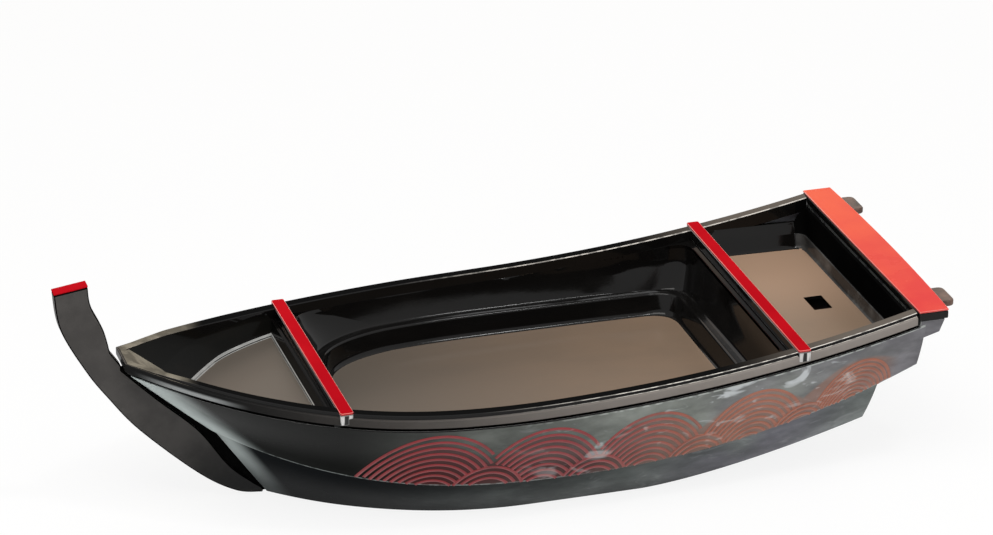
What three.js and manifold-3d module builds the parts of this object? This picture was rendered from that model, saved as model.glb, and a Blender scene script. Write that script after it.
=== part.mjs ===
// A boat-shaped serving platter for sushi, moulded in black lacquer-look plastic with red tops.
// Millimetres. X runs to the bow, Y to port and Z up.
// The origin lies on the flat bottom, under the widest station of the boat.
import * as THREE from 'three';
import { mergeVertices } from 'three/addons/utils/BufferGeometryUtils.js';
import Module from 'manifold-3d';

const wasm = await Module();
wasm.setup();

// Fit of pieces that touch, and walls of the mouldings
const FIT = 0.3;
const HULL_WALL = 3.2;
const BILGE_WALL = 4.2;
const TUB_WALL = 2.4;
const TUB_CLEARANCE = 1.2;

// Rim line: plan and sheer of the line where the deck moulding meets the hull
const BOW_X = 284.5;
const BOW_HALF = 14.5;
const BOW_FULLNESS = 2.5;
const BEAM_HALF = 117;
const TRANSOM_X = -248.5;
const STERN_TAPER = 5.8;
const STERN_FULLNESS = 2;
const SHEER_LOW_X = 68;
const SHEER_LOW = 84.3;
const BOW_SHEER = 24.5;
const BOW_SHEER_POWER = 2.2;
const STERN_SHEER = 31.8;
const STERN_SHEER_POWER = 2.3;

// Hull below the rim: leading edge, chine, lower transom and bottom
const HULL_BOW_SETBACK = 3.5;
const CHINE_BOW_X = 226;
const CHINE_BOW_HALF = 8;
const CHINE_FULL_X = -20;
const CHINE_FULLNESS = 3;
const CHINE_FLARE = 19;
const CHINE_LOW = 30;
const CHINE_BOW_RISE = 24.3;
const CHINE_BOW_POWER = 2.6;
const CHINE_STERN_RISE = 49.2;
const CHINE_STERN_POWER = 2.15;
const STRAKE_CROWN = 1.2;
const STRAKE_LAP = 1.3;
const LOWER_TRANSOM_SETBACK = 27;
const BOTTOM_HALF = 73.5;
const BOTTOM_FULL_X = 20;
const BOTTOM_FULLNESS = 2.1;
const BOTTOM_STERN_TAPER = 3.5;
const FOOT_X = 188;
const FOOT_RISE = 1.5;
const FOOT_RISE_START = 140;
const FOOT_HALF = 5;
const ROCKER_START = -58;
const ROCKER_RISE = 30;
const ROCKER_POWER = 1.5;

// Stern gallery: the raised, overhanging top of the hull that carries the transom board
const GALLERY_ROOT = 5.5;
const GALLERY_OVERHANG = 13.4;
const GALLERY_RAKE = 2.5;
const GALLERY_PROUD = 1.2;
const GALLERY_DEPTH = 14;
const GALLERY_SWEEP = 3.8;

// Rim section of the deck moulding
const SHADOW_GAP = 1.6;
const SHADOW_DEPTH = 2.1;
const RAIL_HEIGHT = 5.8;
const COAMING_STEP = 2.2;
const COAMING_RISE = 2.8;
const RIM_WIDTH = 10;
const SKIRT_DEPTH = 6;
const SKIRT_WALL = 2;
const SKIRT_BOW_SETBACK = 18;
const DECK_AFT_GAP = 0.6;

// Crossbars, let into the rim
const FRONT_BAR_X = 153.4;
const REAR_BAR_X = -160;
const BAR_WIDTH = 9;
const BAR_PROUD = 1.2;
const BAR_SEAT = 1;
const BAR_WALL = 2;
const BAR_CAP = 1.6;
const PEG_DIAMETER = 4;
const PEG_LENGTH = 5;
const PEG_SPREAD = 0.62;

// Wells of the deck moulding, with depths below the rim line
const BULKHEAD = 16;
const TRAY_APEX_SETBACK = 10.5;
const TRAY_BOW_SLOPE = 1.04;
const TRAY_DEPTH = 6.5;
const TRAY_STEP = 1.6;
const TRAY_STEP_WIDTH = 2.4;
const TRAY_WALL_RUN = 9;
const TRAY_NOSE_RUN = 22;
const TRAY_SHOULDER = 0.34;
const TRAY_TIP_ROUND = 2;
const BASIN_LEDGE_DEPTH = 17.8;
const BASIN_DEPTH = 33.3;
const BASIN_WALL_RUN = 5;
const BASIN_LEDGE_WIDTH = 7;
const BASIN_RECESS_RUN = 3;
const BASIN_TOP_ROUND = 16;
const BASIN_AFT_ROUND = 20;
const BASIN_FORE_ROUND = 56;
const AFT_DEPTH = 11.7;
const AFT_WALL_RUN = 8;
const AFT_STEP = 10;
const AFT_STEP_WIDTH = 1.6;
const AFT_ROUND = 7;
const SHARP_ROUND = 1;
const MAST_X = -213.5;
const MAST_LENGTH = 13.5;
const MAST_WIDTH = 22.4;

// Stem post, with the places of its edges measured from the hull's leading edge
const STEM_THICKNESS = 9;
const STEM_EDGE = 0.9;
const STEM_REACH = 43.5;
const STEM_RISE = 58.2;
const STEM_TIP_LENGTH = 23;
const STEM_TIP_SLOPE = 3.2;
const STEM_CAP = 1.6;
const STEM_GAP = 8;
const STEM_WIDTH = 28;
const STEM_BELLY = 7;
const STEM_TOE = 19;
const STEM_FOOT_HEIGHT = 0.8;
const STEM_NECK = 7;
const TONGUE_THICKNESS = 6;
const TONGUE_GRIP = 3;

// Transom board and lugs
const BOARD_SETBACK = 0.5;
const BOARD_LENGTH = 21;
const BOARD_ARCH = 2.6;
const BOARD_THICKNESS = 7;
const BOARD_PROUD = 0.6;
const BOARD_CAP = 1.5;
const BOARD_CHAMFER = 3;
const LUG_INSET = 27.2;
const LUG_WIDTH = 24;
const LUG_REACH = 11.5;
const LUG_ROOT = 6.5;
const LUG_THICKNESS = 4.4;
const LUG_ROUND = 5;
const LUG_DROP = 0.8;
const CAP_EDGE = 0.4;
const LUG_EDGE = 0.6;

// Fineness of the facets
const STATIONS = 26;
const STRAKE_STEPS = 3;
const SIDE_STEPS = 12;
const CORNER_STEPS = 5;
const PEG_SIDES = 12;

// Height that cutting solids reach, well above the boat, and how far they run past a face or,
// as a share of the strake, past the rim
const HIGH = 200;
const PAST = 1;
const PAST_RIM = 1.3;

const STERN_HALF = BEAM_HALF - STERN_TAPER;
const CHINE_HALF = BEAM_HALF - CHINE_FLARE;
const HULL_BOW_X = BOW_X - HULL_BOW_SETBACK;
const LOWER_TRANSOM_X = TRANSOM_X + LOWER_TRANSOM_SETBACK;
const GALLERY_FRONT_X = TRANSOM_X + GALLERY_ROOT;
const DECK_AFT_X = GALLERY_FRONT_X + DECK_AFT_GAP;
const BOARD_FRONT_X = GALLERY_FRONT_X - BOARD_SETBACK;
const BOARD_AFT_X = BOARD_FRONT_X - BOARD_LENGTH;
const RIM_HEIGHT = RAIL_HEIGHT + COAMING_RISE;

const black = () => new THREE.MeshStandardMaterial({ color: 0x0b0a0a, roughness: 0.12, metalness: 0 });
const matteBlack = () => new THREE.MeshStandardMaterial({ color: 0x262524, roughness: 0.45, metalness: 0 });
const red = () => new THREE.MeshStandardMaterial({ color: 0xc8141e, roughness: 0.25, metalness: 0 });

const mix = (a, b, t) => a + (b - a) * t;
const rise = (x, from, to, power) => Math.max(0, (x - from) / (to - from)) ** power;
const steps = (count) => Array.from({ length: count + 1 }, (_, i) => i / count);

// Lines of the boat, each a function of the distance along it

const rimHalf = (x) =>
  BEAM_HALF -
  (BEAM_HALF - BOW_HALF) * rise(x, 0, BOW_X, BOW_FULLNESS) -
  STERN_TAPER * rise(x, 0, TRANSOM_X, STERN_FULLNESS);

const rimHeight = (x) =>
  SHEER_LOW +
  BOW_SHEER * rise(x, SHEER_LOW_X, BOW_X, BOW_SHEER_POWER) +
  STERN_SHEER * rise(x, SHEER_LOW_X, TRANSOM_X, STERN_SHEER_POWER);

const chineHalf = (x) =>
  CHINE_HALF - (CHINE_HALF - CHINE_BOW_HALF) * rise(x, CHINE_FULL_X, CHINE_BOW_X, CHINE_FULLNESS);

const chineHeight = (x) =>
  CHINE_LOW +
  CHINE_BOW_RISE * rise(x, 0, CHINE_BOW_X, CHINE_BOW_POWER) +
  CHINE_STERN_RISE * rise(x, 0, TRANSOM_X, CHINE_STERN_POWER);

const bottomHalf = (x) =>
  BOTTOM_HALF -
  (BOTTOM_HALF - FOOT_HALF) * rise(x, BOTTOM_FULL_X, FOOT_X, BOTTOM_FULLNESS) -
  BOTTOM_STERN_TAPER * rise(x, BOTTOM_FULL_X, LOWER_TRANSOM_X, 2);

const bottomHeight = (x) =>
  FOOT_RISE * rise(x, FOOT_RISE_START, FOOT_X, 2) +
  ROCKER_RISE * rise(x, ROCKER_START, LOWER_TRANSOM_X, ROCKER_POWER);

const rimPoint = (x) => new THREE.Vector3(x, rimHalf(x), rimHeight(x));
const chinePoint = (x) => new THREE.Vector3(x, chineHalf(x), chineHeight(x));
const bottomPoint = (x) => new THREE.Vector3(x, bottomHalf(x), bottomHeight(x));

// Half breadth of the upper strake's outer face at a place and height, found by steps along its rulings
function strakeHalf(x, z) {
  let along = 0.5;
  let up = 0.5;
  for (let step = 0; step < 12; step += 1) {
    const bowX = mix(CHINE_BOW_X, HULL_BOW_X, up);
    along = THREE.MathUtils.clamp((x - TRANSOM_X) / (bowX - TRANSOM_X), 0, 1);
    const low = chineHeight(mix(TRANSOM_X, CHINE_BOW_X, along));
    const high = rimHeight(mix(TRANSOM_X, HULL_BOW_X, along));
    up = (z - low) / (high - low);
  }
  const lowHalf = chineHalf(mix(TRANSOM_X, CHINE_BOW_X, along));
  return mix(lowHalf, rimHalf(mix(TRANSOM_X, HULL_BOW_X, along)), up);
}

// Solids

function facingOut(position, index) {
  const a = new THREE.Vector3();
  const b = new THREE.Vector3();
  const c = new THREE.Vector3();
  let volume = 0;
  for (let i = 0; i < index.length; i += 3) {
    a.fromArray(position, 3 * index[i]);
    b.fromArray(position, 3 * index[i + 1]);
    c.fromArray(position, 3 * index[i + 2]);
    volume += a.dot(b.cross(c));
  }
  return volume < 0 ? index.slice().reverse() : index;
}

function solid(geometry) {
  const bare = geometry.clone();
  bare.deleteAttribute('normal');
  bare.deleteAttribute('uv');
  const merged = mergeVertices(bare, 1e-4);
  return new wasm.Manifold(
    new wasm.Mesh({
      numProp: 3,
      vertProperties: new Float32Array(merged.attributes.position.array),
      triVerts: new Uint32Array(merged.index.array),
    }),
  );
}

function geometryOf(manifold) {
  const { vertProperties, triVerts } = manifold.getMesh();
  const geometry = new THREE.BufferGeometry();
  geometry.setAttribute('position', new THREE.Float32BufferAttribute(vertProperties, 3));
  geometry.setIndex(Array.from(triVerts));
  geometry.computeVertexNormals();
  return geometry;
}

// A closed solid through rings of equally many points, each ring the same to port and to starboard
function loft(rings) {
  const count = rings[0].length;
  const position = rings.flat().flatMap((point) => point.toArray());
  const index = [];
  for (let ring = 0; ring + 1 < rings.length; ring += 1) {
    for (let i = 0; i < count; i += 1) {
      const a = ring * count + i;
      const b = ring * count + ((i + 1) % count);
      index.push(a, b, b + count, a, b + count, a + count);
    }
  }
  const last = (rings.length - 1) * count;
  for (let i = 0; 2 * i + 2 < count; i += 1) {
    const across = count - 1 - i;
    const halves = [[i, across - 1, i + 1], [i, across, across - 1]];
    for (const [p, q, r] of halves.filter((half) => new Set(half).size === 3)) {
      index.push(p, q, r, last + p, last + r, last + q);
    }
  }
  const geometry = new THREE.BufferGeometry();
  geometry.setAttribute('position', new THREE.Float32BufferAttribute(position, 3));
  geometry.setIndex(facingOut(position, index));
  return solid(geometry);
}

function box(minX, maxX, minY, maxY, minZ, maxZ) {
  const geometry = new THREE.BoxGeometry(maxX - minX, maxY - minY, maxZ - minZ);
  geometry.translate((minX + maxX) / 2, (minY + maxY) / 2, (minZ + maxZ) / 2);
  return solid(geometry);
}

function plate(shape, depth, edge) {
  return new THREE.ExtrudeGeometry(shape, {
    depth: depth - 2 * edge,
    bevelEnabled: edge > 0,
    bevelThickness: edge,
    bevelSize: edge,
    bevelOffset: -edge,
    bevelSegments: 2,
    curveSegments: 6,
  }).translate(0, 0, edge);
}

// A plate whose outline is drawn in X and Z, standing on the centre line
const standing = (shape, thickness, edge) =>
  plate(shape, thickness, edge).rotateX(Math.PI / 2).translate(0, thickness / 2, 0);

// Mirrors the port half of a section into a full ring
const bothSides = (port) => [...port, ...port.map((p) => new THREE.Vector3(p.x, -p.y, p.z)).reverse()];

// Hull

// One body between an upper and a lower line, each running from the stern to the bow, with crowned sides
function strakeBody(upper, lower, reach) {
  const rings = steps(STATIONS).map((along) => {
    const top = upper(along);
    const foot = lower(along);
    const port = steps(STRAKE_STEPS).map((down) => {
      const up = mix(reach, 0, down);
      const point = foot.clone().lerp(top, up);
      point.y += STRAKE_CROWN * 4 * up * (1 - up);
      return point;
    });
    return bothSides(port);
  });
  return loft(rings);
}

const inset = (point, sideways, upwards) => point.add(new THREE.Vector3(0, -sideways, upwards));

function makeHull() {
  const upperBody = strakeBody(
    (s) => inset(rimPoint(mix(TRANSOM_X, HULL_BOW_X, s)), 0, -SHADOW_GAP),
    (s) => chinePoint(mix(TRANSOM_X, CHINE_BOW_X, s)),
    1,
  );
  const lowerBody = strakeBody(
    (s) => inset(chinePoint(mix(LOWER_TRANSOM_X, CHINE_BOW_X - STRAKE_LAP, s)), STRAKE_LAP, STRAKE_LAP),
    (s) => bottomPoint(mix(LOWER_TRANSOM_X, FOOT_X, s)),
    1,
  );
  const roomAft = TRANSOM_X + HULL_WALL;
  const upperRoom = strakeBody(
    (s) => inset(rimPoint(mix(roomAft, HULL_BOW_X - HULL_WALL, s)), HULL_WALL, 0),
    (s) => inset(chinePoint(mix(roomAft, CHINE_BOW_X - HULL_WALL, s)), HULL_WALL, HULL_WALL),
    PAST_RIM,
  );
  const lowerAft = LOWER_TRANSOM_X + HULL_WALL;
  const lowerRoom = strakeBody(
    (s) => {
      const point = chinePoint(mix(lowerAft, CHINE_BOW_X - 2 * HULL_WALL, s));
      return inset(point, STRAKE_LAP + HULL_WALL, 2 * HULL_WALL);
    },
    (s) => {
      const point = bottomPoint(mix(lowerAft, FOOT_X - 2 * HULL_WALL, s));
      return inset(point, Math.min(BILGE_WALL, point.y / 2), HULL_WALL);
    },
    1,
  );
  return upperBody
    .add(lowerBody)
    .add(galleryBody(0))
    .subtract(upperRoom)
    .subtract(lowerRoom)
    .subtract(galleryBody(HULL_WALL))
    .subtract(stemTongue(FIT));
}

const galleryTop = rimHeight(TRANSOM_X) + GALLERY_PROUD;

// The gallery as a solid, or with a wall its inside, open at the top and towards the hull
function galleryBody(wall) {
  const half = (z) => strakeHalf(TRANSOM_X, z) - wall;
  const front = GALLERY_FRONT_X + wall;
  const low = galleryTop - GALLERY_DEPTH + wall;
  const aft = TRANSOM_X - GALLERY_OVERHANG + GALLERY_RAKE + wall;
  const high = wall > 0 ? HIGH : galleryTop;
  const foot = [
    new THREE.Vector3(front, half(low), low),
    new THREE.Vector3(TRANSOM_X, half(low), low),
    new THREE.Vector3(aft, half(low + GALLERY_SWEEP), low + GALLERY_SWEEP),
  ];
  const top = [front, TRANSOM_X, aft - GALLERY_RAKE].map((x) => new THREE.Vector3(x, half(galleryTop), high));
  return loft([bothSides(foot), bothSides(top)]);
}

// Deck moulding

// Inner edge of the rim; near the bow it runs straight to a point
function innerHalf(x) {
  const slope = (rimHalf(x + 1) - rimHalf(x - 1)) / 2;
  const followed = rimHalf(x) - RIM_WIDTH * Math.hypot(1, slope);
  return Math.min(followed, (BOW_X - TRAY_APEX_SETBACK - x) * TRAY_BOW_SLOPE);
}

// Widest a well may be at a height without its shell touching the hull
const wellHalf = (x, z) => strakeHalf(x, z - TUB_WALL) - HULL_WALL - TUB_CLEARANCE - TUB_WALL;

const curve = (from, control, to, count) => new THREE.QuadraticBezierCurve(from, control, to).getPoints(count);
const at = (x, y) => new THREE.Vector2(x, y);
const mirrored = (port) => port.map((p) => at(p.x, -p.y)).reverse();

// Closed plan outline between two end walls, with rounded corners; half gives the half breadth
function outline(aftX, foreX, half, aftRound, foreRound) {
  const sideAft = aftX + aftRound;
  const sideFore = foreX - foreRound;
  const aftEnd = half(aftX) - Math.min(aftRound, half(aftX) / 2);
  const foreEnd = half(foreX) - Math.min(foreRound, half(foreX) / 2);
  const port = [
    ...curve(at(aftX, aftEnd), at(aftX, half(aftX)), at(sideAft, half(sideAft)), CORNER_STEPS),
    ...steps(SIDE_STEPS).slice(1, -1).map((t) => mix(sideAft, sideFore, t)).map((x) => at(x, half(x))),
    ...curve(at(sideFore, half(sideFore)), at(foreX, half(foreX)), at(foreX, foreEnd), CORNER_STEPS),
  ];
  return [...port, ...mirrored(port)];
}

// Outline of the pointed bow tray, with its nose rounded
function trayOutline(aftX, apexX, half, nose) {
  const shoulder = mix(aftX, apexX, TRAY_SHOULDER);
  const side = steps(SIDE_STEPS / 2).slice(0, -1).map((t) => mix(aftX, shoulder, t));
  const control = at(apexX - nose / 2, half(apexX - nose / 2));
  const port = [
    ...side.map((x) => at(x, half(x))),
    ...curve(at(shoulder, half(shoulder)), control, at(apexX, 0), SIDE_STEPS),
  ];
  return [...port, ...mirrored(port).slice(1)];
}

// A well from its levels, each a height and the plan outline there
const wellSolid = (levels) =>
  loft(levels.map(([z, points]) => points.map((p) => new THREE.Vector3(p.x, p.y, z))));

// Each well is made as its room, or with a wall as its outer shell

function bowTray(wall) {
  const aft = FRONT_BAR_X + BULKHEAD / 2 - wall;
  const apex = BOW_X - TRAY_APEX_SETBACK + wall;
  const floor = rimHeight(FRONT_BAR_X) - TRAY_DEPTH;
  const ledge = floor + TRAY_STEP;
  const sideTop = rimHeight(FRONT_BAR_X) + RAIL_HEIGHT;
  const noseTop = rimHeight(BOW_X) + RIM_HEIGHT;
  const level = (z, run, back, nose) => {
    const half = (x) => Math.max(Math.min(innerHalf(x - wall) - run, wellHalf(x, z)), PAST) + wall;
    return [z - (z <= ledge ? wall : 0), trayOutline(aft + run / 3, apex - back, half, nose)];
  };
  const noseRun = TRAY_NOSE_RUN + TRAY_WALL_RUN;
  const noseShare = (noseTop - sideTop) / (noseTop - ledge);
  const innerRun = TRAY_WALL_RUN + TRAY_STEP_WIDTH;
  return wellSolid([
    level(HIGH, 0, 0, TRAY_TIP_ROUND),
    level(noseTop, 0, 0, TRAY_TIP_ROUND),
    level(sideTop, 0, noseRun * noseShare, TRAY_NOSE_RUN * noseShare),
    level(ledge, TRAY_WALL_RUN, noseRun, TRAY_NOSE_RUN),
    level(ledge, innerRun, noseRun + TRAY_STEP_WIDTH, TRAY_NOSE_RUN),
    level(floor, innerRun, noseRun + TRAY_STEP_WIDTH, TRAY_NOSE_RUN),
  ]);
}

function mainBasin(wall) {
  const aft = REAR_BAR_X + BULKHEAD / 2 - wall;
  const fore = FRONT_BAR_X - BULKHEAD / 2 + wall;
  const wallTop = SHEER_LOW + BAR_SEAT;
  const ledge = SHEER_LOW - BASIN_LEDGE_DEPTH;
  const ledgeRun = BASIN_WALL_RUN + BASIN_LEDGE_WIDTH;
  const level = (z, run, aftRound, foreRound) => {
    const half = (x) => Math.min(innerHalf(x) - run, wellHalf(x, Math.min(z, wallTop))) + wall;
    return [z - (z <= ledge ? wall : 0), outline(aft + run, fore - run, half, aftRound, foreRound)];
  };
  return wellSolid([
    level(HIGH, 0, BASIN_TOP_ROUND, BASIN_TOP_ROUND),
    level(wallTop, 0, BASIN_TOP_ROUND, BASIN_TOP_ROUND),
    level(ledge, BASIN_WALL_RUN, BASIN_AFT_ROUND, BASIN_FORE_ROUND),
    level(ledge, ledgeRun, BASIN_AFT_ROUND, BASIN_FORE_ROUND),
    level(SHEER_LOW - BASIN_DEPTH, ledgeRun + BASIN_RECESS_RUN, BASIN_AFT_ROUND, BASIN_FORE_ROUND),
  ]);
}

const aftFloor = rimHeight(REAR_BAR_X) - AFT_DEPTH;

function aftWell(wall) {
  const aft = DECK_AFT_X + TUB_WALL - wall;
  const fore = REAR_BAR_X - BULKHEAD / 2 + wall;
  const step = aftFloor + AFT_STEP;
  const wallTop = rimHeight(REAR_BAR_X) + RAIL_HEIGHT;
  const stepRun = AFT_WALL_RUN / 2;
  const level = (z, run, endStep, foreRound) => {
    const half = (x) => Math.min(innerHalf(x) - run, wellHalf(x, z)) + wall;
    return [z - (z <= aftFloor ? wall : 0), outline(aft + endStep, fore - run / 4, half, AFT_ROUND, foreRound)];
  };
  return wellSolid([
    level(HIGH, 0, 0, SHARP_ROUND),
    level(wallTop, 0, 0, SHARP_ROUND),
    level(step, stepRun, 0, AFT_ROUND),
    level(step, stepRun, AFT_STEP_WIDTH, AFT_ROUND),
    level(aftFloor, AFT_WALL_RUN, AFT_STEP_WIDTH, AFT_ROUND),
  ]);
}

// The mast's socket hangs below the aft well and ends just above the hull's counter
function mastSlot(wall) {
  const halfLength = MAST_LENGTH / 2 + wall;
  const halfWidth = MAST_WIDTH / 2 + wall;
  const counter = chineHeight(MAST_X - MAST_LENGTH) + HULL_WALL + TUB_CLEARANCE;
  const foot = wall > 0 ? counter : counter + TUB_WALL;
  const top = wall > 0 ? aftFloor - TUB_WALL / 2 : HIGH;
  return box(MAST_X - halfLength, MAST_X + halfLength, -halfWidth, halfWidth, foot, top);
}

const barSeat = (barX) => rimHeight(barX) + BAR_SEAT;
const barTop = (barX) => rimHeight(barX) + RIM_HEIGHT + BAR_PROUD;
const barSides = (barX) => [barX - BAR_WIDTH / 2, barX + BAR_WIDTH / 2];

// Room over a bulkhead, between the coamings, where a crossbar lies
function barRoom(barX, aftReach, foreReach) {
  const points = outline(barX - aftReach, barX + foreReach, innerHalf, SHARP_ROUND, SHARP_ROUND);
  return wellSolid([[HIGH, points], [barSeat(barX), points]]);
}

function barNotch(barX) {
  const [aft, fore] = barSides(barX);
  const across = rimHalf(barX) + BAR_WIDTH;
  return box(aft - FIT, fore + FIT, -across, across, barSeat(barX), HIGH);
}

const pegPlaces = (barX) => [-1, 1].map((side) => side * PEG_SPREAD * innerHalf(barX));

function peg(barX, y, diameter, high, low) {
  const geometry = new THREE.CylinderGeometry(diameter / 2, diameter / 2, high - low, PEG_SIDES);
  return solid(geometry.rotateX(Math.PI / 2).translate(barX, y, (high + low) / 2));
}

// Rim of the deck moulding as a lid over the whole boat, with the stepped seat that lies on the hull
function rimLid() {
  const seat = FIT - SHADOW_GAP;
  const rings = steps(STATIONS).map((s) => {
    const x = mix(DECK_AFT_X, BOW_X, s);
    const point = (run, up) => new THREE.Vector3(x, rimHalf(x) - run, rimHeight(x) + up);
    return bothSides([
      point(RIM_WIDTH, RIM_HEIGHT),
      point(COAMING_STEP, RIM_HEIGHT),
      point(COAMING_STEP, RAIL_HEIGHT),
      point(0, RAIL_HEIGHT),
      point(0, 0),
      point(SHADOW_DEPTH, 0),
      point(SHADOW_DEPTH, seat),
      point(RIM_WIDTH, seat),
    ]);
  });
  return loft(rings);
}

// The skirt stands just inside the hull, below the seat
function rimSkirt() {
  const body = (clear, high, low) => {
    const rings = steps(STATIONS).map((s) => {
      const x = mix(DECK_AFT_X + clear, HULL_BOW_X - SKIRT_BOW_SETBACK - clear, s);
      const point = (up) => {
        const z = rimHeight(x) + up;
        return new THREE.Vector3(x, strakeHalf(x + HULL_WALL, z) - HULL_WALL - clear, z);
      };
      return bothSides([point(high), point(low)]);
    });
    return loft(rings);
  };
  const clear = 3 * FIT;
  return body(clear, 0, -SKIRT_DEPTH).subtract(body(clear + SKIRT_WALL, PAST, -SKIRT_DEPTH - PAST));
}

// Everything below the coaming's top, to trim the shells of the wells
function underCoaming() {
  const rings = steps(STATIONS).map((s) => {
    const x = mix(DECK_AFT_X, BOW_X - PAST, s);
    const half = rimHalf(x) - COAMING_STEP - PAST;
    const high = rimHeight(x) + RIM_HEIGHT - FIT;
    return bothSides([new THREE.Vector3(x, half, high), new THREE.Vector3(x, half, 0)]);
  });
  return loft(rings);
}

// The space between the coamings over the aft well's end wall
function endWallRoom() {
  const points = outline(DECK_AFT_X - PAST, DECK_AFT_X + 2 * TUB_WALL, innerHalf, SHARP_ROUND, SHARP_ROUND);
  return wellSolid([[HIGH, points], [galleryTop, points]]);
}

function makeDeck() {
  const shells = bowTray(TUB_WALL).add(mainBasin(TUB_WALL)).add(aftWell(TUB_WALL)).intersect(underCoaming());
  const landEnd = BULKHEAD / 2 + FIT;
  const rooms = [
    bowTray(0),
    mainBasin(0),
    aftWell(0),
    mastSlot(0),
    endWallRoom(),
    barRoom(FRONT_BAR_X, BULKHEAD / 2 + BASIN_TOP_ROUND, landEnd),
    barRoom(REAR_BAR_X, landEnd, BULKHEAD / 2 + BASIN_TOP_ROUND),
  ];
  for (const barX of [FRONT_BAR_X, REAR_BAR_X]) {
    rooms.push(barNotch(barX));
    for (const y of pegPlaces(barX)) {
      rooms.push(peg(barX, y, PEG_DIAMETER + 2 * FIT, HIGH, barSeat(barX) - PEG_LENGTH - PAST));
    }
  }
  const whole = rimLid().add(rimSkirt()).add(shells).add(mastSlot(TUB_WALL));
  return rooms.reduce((rest, room) => rest.subtract(room), whole);
}

// Crossbars

// A hollow bar, open below, with two pegs that stand in the bulkhead
function makeBar(barX) {
  const [aft, fore] = barSides(barX);
  const half = rimHalf(barX);
  const low = barSeat(barX) + FIT;
  const high = barTop(barX) - BAR_CAP;
  const end = half - 2 * BAR_WALL;
  const room = box(aft + BAR_WALL, fore - BAR_WALL, -end, end, low - PAST, high - BAR_WALL);
  const channel = box(aft, fore, -half, half, low, high).subtract(room);
  return pegPlaces(barX)
    .map((y) => peg(barX, y, PEG_DIAMETER, high - BAR_WALL / 2, low - PEG_LENGTH))
    .reduce((bar, stud) => bar.add(stud), channel);
}

function makeBarCap(barX) {
  const [aft, fore] = barSides(barX);
  const half = rimHalf(barX);
  const shape = new THREE.Shape([at(aft, -half), at(fore, -half), at(fore, half), at(aft, half)]);
  return solid(plate(shape, BAR_CAP - FIT, CAP_EDGE).translate(0, 0, barTop(barX) - BAR_CAP + FIT));
}

// Stem post

const leadTop = at(HULL_BOW_X, rimHeight(HULL_BOW_X));
const leadChine = at(CHINE_BOW_X, chineHeight(CHINE_BOW_X));
const leadFoot = at(FOOT_X, bottomHeight(FOOT_X));
const rimFront = at(BOW_X + 2 * FIT, rimHeight(BOW_X));
const tipFront = at(BOW_X + STEM_REACH, rimHeight(BOW_X) + STEM_RISE);
const tipRear = at(tipFront.x - STEM_TIP_LENGTH, tipFront.y + STEM_TIP_SLOPE);

// A place a share of the way between two points, moved forwards
const along = (from, to, share, forwards) => at(mix(from.x, to.x, share) + forwards, mix(from.y, to.y, share));

function stemShape() {
  const front = STEM_GAP + STEM_WIDTH;
  const heel = along(leadChine, leadFoot, 0.96, STEM_EDGE);
  const shape = new THREE.Shape();
  shape.moveTo(tipRear.x, tipRear.y - STEM_CAP);
  shape.splineThru([
    along(rimFront, tipRear, 0.75, STEM_NECK / 2),
    along(rimFront, tipRear, 0.45, STEM_NECK / 4),
    along(rimFront, tipRear, 0.17, STEM_NECK / 2),
  ]);
  shape.lineTo(rimFront.x, rimFront.y);
  shape.lineTo(rimFront.x, rimFront.y - 2 * SHADOW_GAP);
  shape.splineThru([
    along(leadTop, leadChine, 0.5, STEM_GAP),
    along(leadTop, leadChine, 1, STEM_GAP),
    along(leadChine, leadFoot, 0.55, STEM_GAP + STEM_EDGE),
    along(leadChine, leadFoot, 0.83, STEM_GAP / 2),
    along(leadChine, leadFoot, 0.93, STEM_EDGE),
  ]);
  shape.lineTo(heel.x, heel.y);
  shape.lineTo(heel.x, STEM_FOOT_HEIGHT);
  shape.splineThru([
    along(leadChine, leadFoot, 0.94, STEM_TOE),
    along(leadChine, leadFoot, 0.62, front - STEM_BELLY / 2),
    along(leadTop, leadChine, 0.91, front + STEM_BELLY),
    along(leadTop, leadChine, 0.4, front),
    along(leadTop, leadChine, 0, STEM_WIDTH),
    along(leadTop, tipFront, 0.53, STEM_WIDTH * 0.66),
    at(tipFront.x, tipFront.y - STEM_CAP),
  ]);
  return shape;
}

// The thin tongue behind the stem, let into the hull's bow; grown, it is the slot that takes it
function stemTongue(grow) {
  const back = TONGUE_GRIP + grow;
  const reach = STEM_GAP + STEM_WIDTH / 3;
  const top = along(leadTop, leadChine, 0.16, 0);
  const foot = along(leadChine, leadFoot, 0.86, 0);
  const shape = new THREE.Shape([
    at(top.x - back, top.y + grow),
    at(leadChine.x - back, leadChine.y),
    at(foot.x - back, foot.y - grow),
    at(foot.x + STEM_GAP, foot.y - grow),
    at(leadChine.x + reach, leadChine.y),
    at(top.x + reach, top.y + grow),
  ]);
  return solid(standing(shape, TONGUE_THICKNESS + 2 * grow, 0));
}

function makeStem() {
  return solid(standing(stemShape(), STEM_THICKNESS, STEM_EDGE)).add(stemTongue(0));
}

function makeStemCap() {
  const low = STEM_CAP - FIT;
  const shape = new THREE.Shape([
    at(tipRear.x, tipRear.y - low),
    at(tipFront.x, tipFront.y - low),
    at(tipFront.x, tipFront.y),
    at(tipRear.x, tipRear.y),
  ]);
  return solid(standing(shape, STEM_THICKNESS, CAP_EDGE));
}

// Transom board and lugs

const boardLow = galleryTop + FIT;
const boardTop = boardLow + BOARD_THICKNESS;
const lugLow = boardLow + LUG_DROP;

function boardShape() {
  const half = STERN_HALF + BOARD_PROUD;
  const shape = new THREE.Shape();
  shape.moveTo(BOARD_FRONT_X, half);
  shape.lineTo(BOARD_AFT_X, half);
  shape.quadraticCurveTo(BOARD_AFT_X - 2 * BOARD_ARCH, 0, BOARD_AFT_X, -half);
  shape.lineTo(BOARD_FRONT_X, -half);
  return shape;
}

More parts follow.
